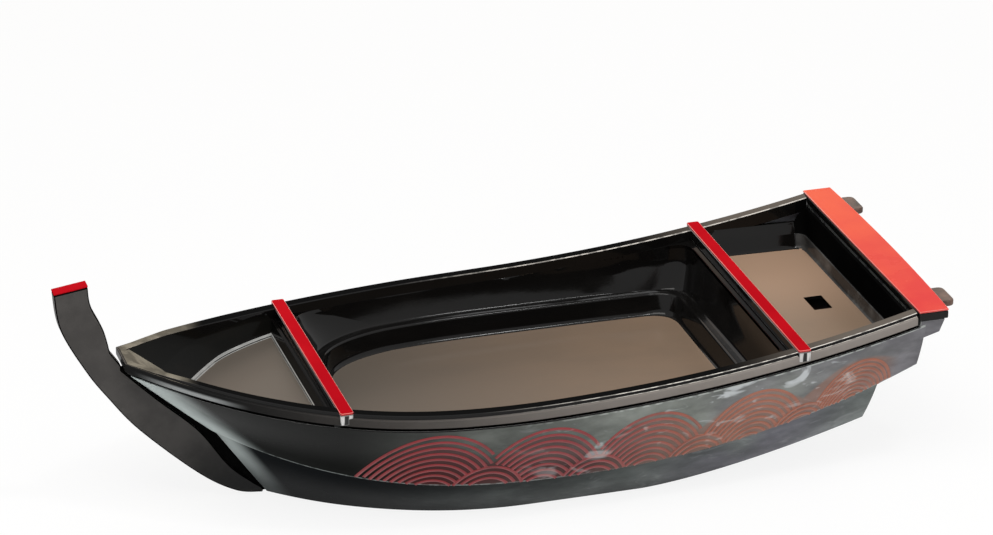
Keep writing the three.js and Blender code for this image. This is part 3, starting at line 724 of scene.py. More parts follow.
def lower_strake_lacquer(name):
    material, start = new_material(name)
    x = boat_x(start)
    up = plank_share(start, "up")
    # Painted shade under the lap of the chine, at the top of the lower strake.
    painted_shade_edge = up.ramp(*CHINE_SHADE)
    haze_and_sheen = side_sheen_with_shade(start, painted_shade_edge) * (1 + 0.45 * (1 - x.ramp(*PALE_STERN)))
    cool = side_cool(start) * x.ramp(*GREEN_STERN)
    haze_and_sheen_color = cool.blend(LOWER_GREEN, LOWER_VIOLET)
    color = (haze_and_sheen * 0.95).clamped().blend(LOWER_BLACK, haze_and_sheen_color)
    color = (painted_highlight_wipes(start) * 0.12).blend(color, HIGHLIGHT_WHITE)
    lit_edge = up.ramp(0.94, 0.97) * (1 - x.ramp(*LIT_EDGE_FORE)) * 0.7
    color = lit_edge.blend(color, LIT_EDGE)
    bow_reflection = bow_painted_reflection(start, edge=0.955) * (0.22 + 0.55 * up.ramp(0.1, 0.75))
    color = bow_reflection.clamped().blend(color, BOW_REFLECTION)
    strake_shader(start, color, haze_and_sheen, painted_shade_edge, polish=0.18)
    return material


upper_lacquer = upper_strake_lacquer("upper_lacquer")
lower_lacquer = lower_strake_lacquer("lower_lacquer")
print("made", upper_lacquer.name, lower_lacquer.name)

# %% [markdown]
# Two places on the deck have their own look. The outer face of the rail is a warm grey of painted
# reflection that starts black at the bow, where one short stretch carries a painted highlight. The
# floors of the wells are not polished at all: they have a satin brown skin, warmer aft, and painted
# light makes them palest on the far side of the aft well, so that they stay pale while the walls
# round them look black. One function makes both, and what only one of them has comes to it as a
# patch.

# %% Rail and well floors
RAIL_HIGHLIGHT = (0.42, 0.44, 0.44)
RAIL_HIGHLIGHT_SHARE = 0.68
RAIL_HIGHLIGHT_X = 246 * MM
RAIL_HIGHLIGHT_REACH = (6 * MM, 35 * MM)
RAIL_HIGHLIGHT_TOP = (2 * MM, 4 * MM)
FAR_FLOOR_LIGHT = (0.38, 0.25, 0.17)
FAR_FLOOR_LIGHT_SHARE = 0.9
FAR_FLOOR_LIGHT_ACROSS = (-55 * MM, 45 * MM)
FAR_FLOOR_LIGHT_FORE = (-185 * MM, -165 * MM)


def height_over_rim(start):
    return boat_place(start, "Z") - rim_height(boat_x(start))


def rail_painted_highlight(start):
    """A painted highlight on the lower part of the rail near the bow, and its colour."""
    off = (boat_x(start) - RAIL_HIGHLIGHT_X).maths("ABSOLUTE")
    below_top = 1 - height_over_rim(start).ramp(*RAIL_HIGHLIGHT_TOP)
    return (1 - off.ramp(*RAIL_HIGHLIGHT_REACH)) * RAIL_HIGHLIGHT_SHARE * below_top, RAIL_HIGHLIGHT


def far_floor_painted_light(start):
    """Painted light that makes the far side of the aft well's floor paler, and its colour."""
    far = 1 - boat_place(start, "Y").ramp(*FAR_FLOOR_LIGHT_ACROSS)
    aft = 1 - boat_x(start).ramp(*FAR_FLOOR_LIGHT_FORE)
    return far * aft * FAR_FLOOR_LIGHT_SHARE, FAR_FLOOR_LIGHT


def warming_lacquer(name, bow, stern, reach, roughness, specular, patch):
    """A finish whose colour goes from one at the bow to another at the stern, with clouds."""
    material, start = new_material(name)
    aft = 1 - boat_x(start).ramp(*reach)
    cloud = noise(start, 40, detail=5.0, roughness=0.6, stretch=(0.5, 1.0, 1.0))
    grain = noise(start, 700, detail=2.0)
    share, patch_color = patch(start)
    color = (aft * (0.75 + cloud * 0.5)).clamped().blend(bow, stern)
    sockets = {
        "Base Color": share.blend(color, patch_color),
        "Roughness": roughness + cloud * 0.12,
        "Normal": bump(start, cloud + grain * 0.08, strength=0.15, distance=0.4 * MM),
        "Specular IOR Level": specular,
    }
    finish_material(start, sockets)
    return material


# The rail's warm grey is painted reflection, black at the bow and lighter aft.
rail_lacquer = warming_lacquer(
    "rail_lacquer",
    bow=(0.008, 0.008, 0.008),
    stern=(0.245, 0.22, 0.20),
    reach=(-160 * MM, 240 * MM),
    roughness=0.22,
    specular=0.05,
    patch=rail_painted_highlight,
)
well_floor = warming_lacquer(
    "well_floor",
    bow=(0.100, 0.085, 0.070),
    stern=(0.215, 0.150, 0.103),
    reach=(-170 * MM, 160 * MM),
    roughness=0.26,
    specular=0.08,
    patch=far_floor_painted_light,
)
print("made", rail_lacquer.name, well_floor.name)

# %% [markdown]
# The coaming is the raised lip inside the rail. Its top carries painted reflection, beige and
# blotched round the bow and brownish at the stern, and painted shade keeps it black amidships; along
# its rounded edge runs a broken line of painted highlight aft. The beige starts a little further
# forward on one side than on the other. The ends of the crossbars are small, round and shiny, and
# show painted glints as a few upright streaks.

# %% Coaming and bar ends
COAMING_REFLECTION_BOW = (229 * MM, 250 * MM)
COAMING_REFLECTION_LEAN = 0.25
COAMING_REFLECTION_DEPTH = (-18 * MM, -2 * MM)


def lip_lacquer(name, bow, middle, stern, reach, breaks):
    """Painted light and shade: one tone at the bow, one amidships and a broken one at the stern."""
    material, start = new_material(name)
    x = boat_x(start)
    broken_highlight = noise(start, 170, detail=2.0).ramp(0.40, 0.56)
    aft = (1 - x.ramp(*reach)) * (broken_highlight * breaks + (1 - breaks))
    cloud = noise(start, 60, detail=4.0, roughness=0.6)
    blotched_reflection = cloud.ramp(0.38, 0.62).blend(bow, tuple(value / 2 for value in bow))
    leaning = x - boat_place(start, "Y") * COAMING_REFLECTION_LEAN
    at_bow = leaning.ramp(*COAMING_REFLECTION_BOW) * height_over_rim(start).ramp(*COAMING_REFLECTION_DEPTH)
    sockets = {
        "Base Color": at_bow.blend(aft.blend(middle, stern), blotched_reflection),
        "Roughness": 0.2 + cloud * 0.15,
        "Specular IOR Level": 0.0,
    }
    finish_material(start, sockets)
    return material


def glint_streaked_lacquer(name, ground, glint):
    """Black lacquer with a few upright painted glints."""
    material, start = new_material(name)
    glints = noise(start, 330, detail=1.0, roughness=0.5, stretch=(1.0, 0.3, 0.12)).ramp(0.50, 0.64)
    cloud = noise(start, 120, detail=3.0)
    sockets = {
        "Base Color": (glints * (0.4 + cloud)).clamped().blend(ground, glint),
        "Roughness": 0.15 + cloud * 0.1,
        "Specular IOR Level": 0.2,
    }
    finish_material(start, sockets)
    return material


coaming_top = lip_lacquer(
    "coaming_top",
    bow=(0.24, 0.215, 0.17),
    middle=(0.006, 0.006, 0.006),
    stern=(0.13, 0.112, 0.095),
    reach=(-200 * MM, -100 * MM),
    breaks=0.0,
)
coaming_lip = lip_lacquer(
    "coaming_lip",
    bow=(0.28, 0.25, 0.205),
    middle=(0.02, 0.02, 0.02),
    stern=(0.70, 0.66, 0.60),
    reach=(-60 * MM, 70 * MM),
    breaks=0.6,
)
bar_end_glints = glint_streaked_lacquer("bar_end_glints", (0.02, 0.02, 0.02), (0.62, 0.61, 0.60))
print("made", coaming_top.name, coaming_lip.name, bar_end_glints.name)

# %% [markdown]
# The stem post is moulded in a plainer black with a satin skin, a little brown and blotched where
# the moulding cooled, and painted shade darkens it towards its foot. The two lugs have the same skin
# in a warmer brown. The red tops are a plain vermilion, painted brighter on one side of the boat as
# if lit from there. Along their edges the colour thins and the pale plastic shows, with a painted
# highlight over it, so the rounded edges get a second, paler finish, which the Bevel modifier hands
# to the faces that it makes.

# %% Satin black and red lacquer
STEM_SHADE = (4 * MM, 75 * MM)
RED_SIDE_LIGHT = (-120 * MM, 120 * MM)


def satin_black(name, deep, pale, foot_shade_share, specular):
    """A satin skin in blotches, with a share of painted shade that darkens it towards the table."""
    material, start = new_material(name)
    blotch = noise(start, 34, detail=5.0, roughness=0.62)
    grain = noise(start, 900, detail=2.0)
    height = boat_place(start, "Z").ramp(*STEM_SHADE)
    tone = (blotch.ramp(0.35, 0.68) * (1 - foot_shade_share) + height * foot_shade_share).clamped()
    sockets = {
        "Base Color": tone.blend(deep, pale),
        "Roughness": 0.42 + tone * 0.12,
        "Normal": bump(start, blotch * 0.7 + grain * 0.3, strength=0.2, distance=0.3 * MM),
        "Specular IOR Level": specular,
    }
    finish_material(start, sockets)
    return material


def red_lacquer(name, deep, bright, roughness, specular):
    """Red with soft clouds and painted light that makes it brighter on one side of the boat."""
    material, start = new_material(name)
    cloud = noise(start, 18, detail=4.0, roughness=0.55)
    peel = noise(start, 380, detail=2.0)
    across = 1 - boat_place(start, "Y").ramp(*RED_SIDE_LIGHT)
    tone = (cloud.ramp(0.35, 0.7) * 0.45 + 0.55 * across).clamped()
    sockets = {
        "Base Color": tone.blend(deep, bright),
        "Roughness": roughness + tone * 0.08,
        "Normal": bump(start, cloud + peel * 0.08, strength=0.15, distance=0.4 * MM),
        "Specular IOR Level": specular,
    }
    finish_material(start, sockets)
    return material


satin = satin_black("satin_black", (0.003, 0.003, 0.003), (0.072, 0.067, 0.063), foot_shade_share=0.7, specular=0.2)
lug_black = satin_black("lug_black", (0.014, 0.010, 0.008), (0.18, 0.112, 0.088), foot_shade_share=0.0, specular=0.2)
red = red_lacquer("red_lacquer", (0.40, 0.004, 0.010), (0.55, 0.008, 0.014), roughness=0.2, specular=0.0)
board_red = red_lacquer(
    "board_red", (0.66, 0.032, 0.034), (0.80, 0.105, 0.048), roughness=0.25, specular=0.03
)
# Pale paint along the edges of the red tops, with a painted highlight on it.
pale_edge_and_highlight = red_lacquer("pale_red_edge_and_highlight", (0.72, 0.17, 0.15), (0.85, 0.36, 0.33), roughness=0.3, specular=0.4)
print("made", satin.name, lug_black.name, red.name, board_red.name, pale_edge_and_highlight.name)

# %% [markdown]
# The hull is two strakes, an upper one that flares to the rim and a lower one set in a little at the
# chine, both bent to the same lines. That is a shape with a rule, so Geometry Nodes bend it. A
# straight plank model is made in shares: X along the boat, Y across it and Z up the strake. The tree
# reads those shares and puts each point where the lines say, as planks are bent over moulds.

# %% Straight plank models
WALL = 3.2 * MM
WALL_ALONG = 0.0065
FLOOR_UP = 0.06
UP_ROWS = 15
FLOOR_COLUMNS = 7
ALONG_STEPS = 170


def hull_section(hollow):
    """Share across, share up and inset of the points round a section of the upper strakes."""
    sides = np.linspace(1, 0, UP_ROWS)
    across = np.linspace(1, -1, FLOOR_COLUMNS)[1:-1]
    outer = [(1, u, 0) for u in sides] + [(c, 0, 0) for c in across] + [(-1, u, 0) for u in sides[::-1]]
    inner_sides = mix(FLOOR_UP, 1, sides)
    inner = [(-1, u, WALL) for u in inner_sides]
    inner += [(c, FLOOR_UP, WALL) for c in across[::-1]]
    inner += [(1, u, WALL) for u in inner_sides[::-1]]
    if not hollow:
        inner = [(c, 1, 0) for c in np.linspace(-1, 1, len(inner) + 2)[1:-1]]
    return outer + inner


def plank_mesh(name, stations):
    """A plank model whose stations are pairs of a share along and a section."""
    mould = Mould()
    mould.solid([[(along, across, up) for across, up, _ in section] for along, section in stations])
    mesh = mould.mesh(name)
    values = [(along, up, inset) for along, section in stations for _, up, inset in section]
    for label, column in zip(("along", "up", "inset"), zip(*values)):
        mesh.attributes.new(label, "FLOAT", "POINT").data.foreach_set("value", column)
    return mesh


hollow_section = hull_section(True)
full_section = hull_section(False)
inside = np.linspace(WALL_ALONG, 1 - WALL_ALONG, ALONG_STEPS)
upper_stations = [(0, full_section), (WALL_ALONG, full_section)]
upper_stations += [(along, hollow_section) for along in inside]
upper_stations += [(1 - WALL_ALONG, full_section), (1, full_section)]
lower_stations = [(along, full_section) for along in np.linspace(0, 1, ALONG_STEPS)]
print(len(upper_stations), "upper stations of", len(full_section), "points")

# %% [markdown]
# The bending tree takes the plank model and the main sizes as named inputs. The same Python
# functions that give the lines as numbers are called here with sockets, so they write the Math
# nodes. The result is turned into a plain mesh, because the later steps and the export need no tree.

# %% Trees with named sizes
SIZE_INPUTS = {
    "Beam Half": "beam_half",
    "Chine Flare": "chine_flare",
    "Chine Low": "chine_low",
    "Sheer Low": "sheer_low",
    "Bow Sheer": "bow_sheer",
    "Stern Sheer": "stern_sheer",
    "Strake Crown": "strake_crown",
}


def geometry_tree(name, inputs, with_geometry=True):
    """A new tree with a geometry inlet, named sizes and a geometry outlet."""
    tree = bpy.data.node_groups.new(name, "GeometryNodeTree")
    if with_geometry:
        tree.interface.new_socket("Geometry", in_out="INPUT", socket_type="NodeSocketGeometry")
    for label in inputs:
        tree.interface.new_socket(label, in_out="INPUT", socket_type="NodeSocketFloat")
    tree.interface.new_socket("Geometry", in_out="OUTPUT", socket_type="NodeSocketGeometry")
    group = tree.nodes.new("NodeGroupInput")
    return tree, {outlet.name: Flow(tree, outlet) for outlet in group.outputs if outlet.name}


def end_tree(tree, geometry, material):
    real = geometry.add("GeometryNodeRealizeInstances", None, {"Geometry": geometry})
    dressed = real.add("GeometryNodeSetMaterial", None, {"Geometry": real, "Material": material})
    dressed.add("NodeGroupOutput", None, {"Geometry": dressed})


def lines_from(inlets):
    sizes = dict(vars(BOAT))
    for label, field in SIZE_INPUTS.items():
        sizes[field] = inlets[label]
    return SimpleNamespace(**sizes)


print("sizes that a tree takes:", list(SIZE_INPUTS))

# %% [markdown]
# Now the planks are bent. In the plank model a point's X, Y and Z are its shares along, across and
# up. The tree asks the strake's formula where that point lies, takes the wall's inset off the half
# breadth and sets the position.


# %% Planks bent to the lines
def bending_tree(name, strake, material):
    tree, inlets = geometry_tree(name, SIZE_INPUTS)
    start = Flow(tree)
    place = start.add("GeometryNodeInputPosition")
    shares = start.add("ShaderNodeSeparateXYZ", None, {"Vector": place})
    inset = start.add("GeometryNodeInputNamedAttribute", {"data_type": "FLOAT"}, {"Name": "inset"})
    x, half, height = strake(shares.out("X"), shares.out("Z"), lines_from(inlets))
    across = shares.out("Y") * (half - inset)
    bent = start.add("ShaderNodeCombineXYZ", None, {"X": x, "Y": across, "Z": height})
    moved = start.add("GeometryNodeSetPosition", None, {"Geometry": inlets["Geometry"], "Position": bent})
    end_tree(tree, moved, material)
    return tree


def grown_mesh(name, mesh, tree, values):
    """The plain mesh that a tree makes of a mesh, with the tree's inputs set by identifier."""
    carrier = bpy.data.objects.new(name, mesh)
    bpy.context.scene.collection.objects.link(carrier)
    modifier = carrier.modifiers.new("tree", "NODES")
    modifier.node_group = tree
    for item in tree.interface.items_tree:
        if item.in_out == "INPUT" and item.name in values:
            modifier[item.identifier] = values[item.name]
    graph = bpy.context.evaluated_depsgraph_get()
    made = bpy.data.meshes.new_from_object(carrier.evaluated_get(graph))
    carrier.modifiers.remove(modifier)
    bpy.data.objects.remove(carrier)
    return made


boat_sizes = {label: getattr(BOAT, field) for label, field in SIZE_INPUTS.items()}


def strake_mesh(name, strake, stations, finish):
    planks = plank_mesh(name + "_planks", stations)
    return grown_mesh(name, planks, bending_tree(name, strake, finish), boat_sizes)


upper_mesh = strake_mesh("upper_strakes", upper_strake, upper_stations, upper_lacquer)
lower_mesh = strake_mesh("lower_strakes", lower_strake, lower_stations, lower_lacquer)
print("upper strakes", len(upper_mesh.vertices), "points")
print("lower strakes", len(lower_mesh.vertices), "points")

# %% [markdown]
# At the stern the top of the hull overhangs as a low gallery that carries the transom board. It is a
# block with a raked after face, and its sides carry on the flare of the upper strake. Its width at any
# height is asked from the strake's own formula, found by a few steps along the strake's rulings. Its
# front lies in the shade under the board, so there its share up is that of the black line under the
# rail.

# %% Stern gallery and the finished hull
GALLERY_FRONT_X = -244.5 * MM
GALLERY_DEPTH = 14 * MM
GALLERY_RAKE = 2.5 * MM
GALLERY_SWEEP = 3.8 * MM
GALLERY_ROWS = 6
GALLERY_PROUD = 0.06 * MM
GALLERY_FRONT_UP = 1.0
GALLERY_SIDE_UP = 0.5
RULING_STEPS = 14
HULL_EDGE = 1.3 * MM
gallery_top = hull_high.z
gallery_aft_x = hull_low.x


def strake_half(x, z, crowned=False):
    """Half breadth of the upper strake at a place and height."""
    up = np.full_like(np.asarray(x, float) + z, 0.5)
    for _ in range(RULING_STEPS):
        bow_x = mix(BOAT.chine_bow_x, BOAT.hull_bow_x, up)
        along = np.clip((x - BOAT.transom_x) / (bow_x - BOAT.transom_x), 0, 1)
        low = chine_height(mix(BOAT.transom_x, BOAT.chine_bow_x, along))
        high = rim_height(mix(BOAT.transom_x, BOAT.hull_bow_x, along))
        up = (z - low) / (high - low)
    low_half = chine_half(mix(BOAT.transom_x, BOAT.chine_bow_x, along))
    half = mix(low_half, rim_half(mix(BOAT.transom_x, BOAT.hull_bow_x, along)), up)
    return half + crowned * BOAT.strake_crown * positive(bulge(up))


def gallery_mesh():
    low = gallery_top - GALLERY_DEPTH
    foot_aft = (gallery_aft_x + GALLERY_RAKE, low + GALLERY_SWEEP)
    foot = [(GALLERY_FRONT_X, low), (BOAT.transom_x, low), foot_aft]
    top = [(GALLERY_FRONT_X, gallery_top), (BOAT.transom_x, gallery_top), (gallery_aft_x, gallery_top)]
    rings = []
    for share in np.linspace(0, 1, GALLERY_ROWS):
        port = []
        for (foot_x, foot_z), (top_x, top_z) in zip(foot, top):
            z = mix(foot_z, top_z, share)
            half = float(strake_half(BOAT.transom_x, z, True)) + GALLERY_PROUD
            port.append((mix(foot_x, top_x, share), half, z))
        rings.append(port + [(x, -y, z) for x, y, z in reversed(port)])
    mould = Mould()
    made = mould.loft(rings)
    mould.cap(made[0])
    mould.cap(made[-1])
    mesh = mould.mesh("gallery")
    at_front = [x == GALLERY_FRONT_X for x, _, _ in mould.points]
    up = [GALLERY_FRONT_UP if front else GALLERY_SIDE_UP for front in at_front]
    mesh.attributes.new("up", "FLOAT", "POINT").data.foreach_set("value", up)
    return mesh


for face in lower_mesh.polygons:
    face.material_index = 1
hull_mesh = joined_mesh("hull", [upper_mesh, lower_mesh, gallery_mesh()])
# The rounded edges of the hull take the last finish, a painted highlight.
place_piece(hull_mesh, "hull_shell", [upper_lacquer, lower_lacquer, painted_edge_highlight], HULL_EDGE)

# %% [markdown]
# The deck moulding sits on the hull like a lid: a rail, a raised coaming inside it and three wells.
# The rim has one section all the way round, so it is that section carried along the rim line, round
# the blunt bow and back. Corners of the section are rounded before it is carried, which keeps the
# thin highlights along the rail even. At the bow the coaming sinks to the level of the rail.

# %% Plan lines of the rim
RAIL_HEIGHT = 5.8 * MM
COAMING_RISE = 2.8 * MM
RIM_HEIGHT = RAIL_HEIGHT + COAMING_RISE
COAMING_STEP = 2.2 * MM
COAMING_FRONT_STEP = 1.7 * MM
RIM_WIDTH = 10 * MM
SEAT_DROP = 1.3 * MM
SEAT_STEP = 2.1 * MM
BOW_RIM_WIDTH = 7 * MM
NARROWING_X = 190 * MM
SINKING_X = 246 * MM
SUNK_SHARE = 0.06
TRAY_FRONT_SETBACK = 6.5 * MM
SLOPE_STEP = 1 * MM
RIM_STATIONS = 190
FRONT_STEPS = 8
deck_aft_x = deck_low.x
tray_front_x = BOAT.bow_x - TRAY_FRONT_SETBACK


def inner_half(x):
    """Inner edge of the rim, which grows narrower towards the bow."""
    slope = (rim_half(x + SLOPE_STEP) - rim_half(x - SLOPE_STEP)) / (2 * SLOPE_STEP)
    bow_share = np.clip((x - NARROWING_X) / (tray_front_x - NARROWING_X), 0, 1)
    return rim_half(x) - mix(RIM_WIDTH, BOW_RIM_WIDTH, bow_share) * np.hypot(1, slope)


def above_rim(x, up):
    """A height in the rim's section; at the bow the coaming sinks to the level of the rail."""
    sunk = np.clip((x - SINKING_X) / (BOAT.bow_x - SINKING_X), 0, 1)
    return np.where(up > RAIL_HEIGHT, mix(up, mix(RAIL_HEIGHT, up, SUNK_SHARE), sunk), up)


def plan_line(front_x, half):
    """A plan line from the port quarter round the bow to the starboard quarter."""
    x = np.linspace(deck_aft_x, front_x, RIM_STATIONS)
    port = np.column_stack([x, half(x)])
    y = np.linspace(port[-1, 1], -port[-1, 1], FRONT_STEPS + 2)[1:-1]
    front = np.column_stack([np.full_like(y, front_x), y])
    return np.concatenate([port, front, port[::-1] * (1, -1)])


rail_line = plan_line(BOAT.bow_x, rim_half)
coaming_line = plan_line(BOAT.bow_x - COAMING_FRONT_STEP, lambda x: rim_half(x) - COAMING_STEP)
inner_line = plan_line(tray_front_x, inner_half)
print("plan lines of", len(rail_line), "points")

# %% [markdown]
# The section is a list of depths into the rim and heights above its line. Each of its points is
# carried along the plan line at its depth, and neighbouring rings are bridged into one closed bar.

# %% Rim carried along its lines
RIM_ROUNDS = (0.6 * MM, 0.9 * MM, 0.4 * MM, 0.8 * MM, 1.1 * MM, 0, 0, 0)


def rim_plan(depth):
    """The plan line at a depth into the rim."""
    if depth < COAMING_STEP:
        return mix(rail_line, coaming_line, depth / COAMING_STEP)
    return mix(coaming_line, inner_line, (depth - COAMING_STEP) / (RIM_WIDTH - COAMING_STEP))


def rim_mesh():
    section = rounded(
        [
            (0, 0),
            (0, RAIL_HEIGHT),
            (COAMING_STEP, RAIL_HEIGHT),
            (COAMING_STEP, RIM_HEIGHT),
            (RIM_WIDTH, RIM_HEIGHT),
            (RIM_WIDTH, -SEAT_DROP),
            (SEAT_STEP, -SEAT_DROP),
            (SEAT_STEP, 0),
        ],
        RIM_ROUNDS,
    )
    columns = []
    for depth, up in section:
        plan = rim_plan(depth)
        columns.append(np.column_stack([plan, rim_height(plan[:, 0]) + above_rim(plan[:, 0], up)]))
    mould = Mould()
    mould.solid(np.stack(columns, axis=1))
    return mould.mesh("rim")


rim = rim_mesh()
print("rim", len(rim.polygons), "faces")

# %% [markdown]
# Each well is a tub: an outline that shrinks step by step as it goes down. A list of levels gives the
# height, how far the wall has come in and how round the corners are, and the corners of that list are
# rounded too, so that the ledges and floors meet the walls in soft moulded fillets. The same levels,
# grown by the wall, make the outside of the tub, and together they close it.

# %% Outlines and levels of the wells
TUB_WALL = 2.4 * MM
TUB_CLEARANCE = 1.2 * MM
SIDE_STEPS = 60
CORNER_STEPS = 14
FILLET_STEPS = 5
MOST_FILLET = 0.49
LEAST_HALF = 1 * MM


def well_half(x, z):
    """Widest a well may be at a height without touching the hull."""
    return strake_half(x, z - TUB_WALL) - WALL - TUB_CLEARANCE - TUB_WALL


def corner(start, control, end):
    t = np.linspace(0, 1, CORNER_STEPS + 1)[:, None]
    start, control, end = (np.array(p, float) for p in (start, control, end))
    return mix(mix(start, control, t), mix(control, end, t), t)


def well_outline(aft_x, fore_x, half, aft_round, fore_round):
    side_aft = aft_x + aft_round
    side_fore = fore_x - fore_round

    def wide(x):
        return float(half(x))

    aft_end = wide(aft_x) - min(aft_round, wide(aft_x) / 2)
    fore_end = wide(fore_x) - min(fore_round, wide(fore_x) / 2)
    x = np.linspace(side_aft, side_fore, SIDE_STEPS)[1:-1]
    port = np.concatenate(
        [
            corner((aft_x, aft_end), (aft_x, wide(aft_x)), (side_aft, wide(side_aft))),
            np.column_stack([x, half(x)]),
            corner((side_fore, wide(side_fore)), (fore_x, wide(fore_x)), (fore_x, fore_end)),
        ]
    )
    return np.concatenate([port, port[::-1] * (1, -1)])


def soft_levels(levels, fillets):
    """Levels with their inner corners rounded; a level is a list that starts with height and run."""
    levels = [np.array(level, float) for level in levels]
    made = [levels[0]]
    for i in range(1, len(levels) - 1):
        here, radius = levels[i], fillets[i - 1]
        ends = []
        for other in (levels[i - 1], levels[i + 1]):
            reach = np.hypot(*(other - here)[:2])
            ends.append(mix(here, other, min(radius / reach, MOST_FILLET)))
        for t in np.linspace(0, 1, FILLET_STEPS + 1):
            made.append(mix(mix(ends[0], here, t), mix(here, ends[1], t), t))
    made.append(levels[-1])
    return made


def tub_mesh(name, rings_of, floor_hole=None):
    """A closed tub from rings(wall), which gives its inside with no wall and its outside with one."""
    mould = Mould()
    inside_rings = mould.loft(rings_of(0))
    outside_rings = mould.loft(rings_of(TUB_WALL))
    mould.bridge(inside_rings[0], outside_rings[0])
    if floor_hole is None:
        mould.cap(inside_rings[-1])
        mould.cap(outside_rings[-1])
    else:
        floor_hole(mould, inside_rings[-1], outside_rings[-1])
    return mould.mesh(name)


print("a well with round corners has", 2 * (2 * CORNER_STEPS + SIDE_STEPS), "points in each ring")

# %% [markdown]
# The main basin takes the sushi. Half way down its wall runs a ledge for a slatted mat, with an oval
# fore end, and the floor lies a little deeper. Its walls rise to the deck, whose level follows the
# sheer, so the top ring isn't flat.

# %% Main basin
front_bar_low, front_bar_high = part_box("front_crossbar")
rear_bar_low, rear_bar_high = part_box("rear_crossbar")
front_bar_x = (front_bar_low.x + front_bar_high.x) / 2
rear_bar_x = (rear_bar_low.x + rear_bar_high.x) / 2
BULKHEAD = 16 * MM
BAR_SEAT = 1 * MM
BASIN_LEDGE_DEPTH = 17.8 * MM
BASIN_DEPTH = 33.3 * MM
BASIN_WALL_RUN = 5 * MM
BASIN_LEDGE_WIDTH = 7 * MM
BASIN_RECESS_RUN = 3 * MM
BASIN_TOP_ROUND = 16 * MM
BASIN_AFT_ROUND = 20 * MM
BASIN_FORE_ROUND = 56 * MM
BASIN_FILLETS = (6 * MM, 2.5 * MM, 1.6 * MM, 4 * MM)
FLOOR_RUN = 6 * MM


def deck_level(x):
    return rim_height(x) + BAR_SEAT


def basin_rings(wall):
    aft = rear_bar_x + BULKHEAD / 2 - wall
    fore = front_bar_x - BULKHEAD / 2 + wall
    wall_top = BOAT.sheer_low + BAR_SEAT
    ledge = BOAT.sheer_low - BASIN_LEDGE_DEPTH
    floor = BOAT.sheer_low - BASIN_DEPTH
    ledge_run = BASIN_WALL_RUN + BASIN_LEDGE_WIDTH
    floor_run = ledge_run + BASIN_RECESS_RUN
    levels = [
        (deck_high.z, 0, BASIN_TOP_ROUND, BASIN_TOP_ROUND),
        (wall_top, 0, BASIN_TOP_ROUND, BASIN_TOP_ROUND),
        (ledge, BASIN_WALL_RUN, BASIN_AFT_ROUND, BASIN_FORE_ROUND),
        (ledge, ledge_run, BASIN_AFT_ROUND, BASIN_FORE_ROUND),
        (floor, floor_run, BASIN_AFT_ROUND, BASIN_FORE_ROUND),
        (floor, floor_run + FLOOR_RUN, BASIN_AFT_ROUND, BASIN_FORE_ROUND),
    ]
    rings = []
    for z, run, aft_round, fore_round in soft_levels(levels, BASIN_FILLETS):
        low_z = min(z, wall_top)
        half = lambda x: np.minimum(inner_half(x) - run, well_half(x, low_z)) + wall
        plan = well_outline(aft + run, fore - run, half, aft_round, fore_round)
        height = np.minimum(z, deck_level(plan[:, 0])) - wall * (z <= ledge)
        rings.append(np.column_stack([plan, height]))
    return rings


basin = tub_mesh("basin", basin_rings)
print("basin", len(basin.polygons), "faces")

# %% [markdown]
# The bow tray is a shallow tray with a thin step round its floor. Its front is blunt: a narrow ramp
# rises from the floor to the sunk coaming, and round shoulders lead from the ramp to the sides. The
# corners could be bevelled afterwards, but a smooth minimum of the side's line and the ramp's line
# gives the shoulder at every level by itself.

# %% Bow tray
TRAY_DEPTH = 6.5 * MM
TRAY_STEP = 1.6 * MM
TRAY_STEP_WIDTH = 2.4 * MM
TRAY_WALL_RUN = 6 * MM
TRAY_AFT_SHARE = 1 / 3
TRAY_NOSE_RUN = 37 * MM
TRAY_FRONT_HALF = 11 * MM
TRAY_BOW_SLOPE = 1.4
TRAY_SHOULDER = 18 * MM
TRAY_FILLETS = (3 * MM, 2 * MM, 1.0 * MM, 1.2 * MM)
TRAY_FLOOR_RUN = 3 * MM
TRAY_LIP = 0.9 * MM
END_RAMP = 6 * MM


def tray_outline(aft_x, front_x, half, shoulder):
    """Sides that follow the rim and then turn, in a round shoulder, to a blunt front."""
    x = np.linspace(aft_x, front_x, SIDE_STEPS)
    side = half(x)
    bow = TRAY_FRONT_HALF + (front_x - x) * TRAY_BOW_SLOPE
    y = (side + bow - np.hypot(side - bow, shoulder)) / 2
    front = np.linspace(y[-1], 0, FRONT_STEPS)[1:]
    blunt = np.column_stack([np.full_like(front, front_x), front])
    port = np.concatenate([np.column_stack([x, y]), blunt])
    return np.concatenate([port, port[::-1] * (1, -1)])


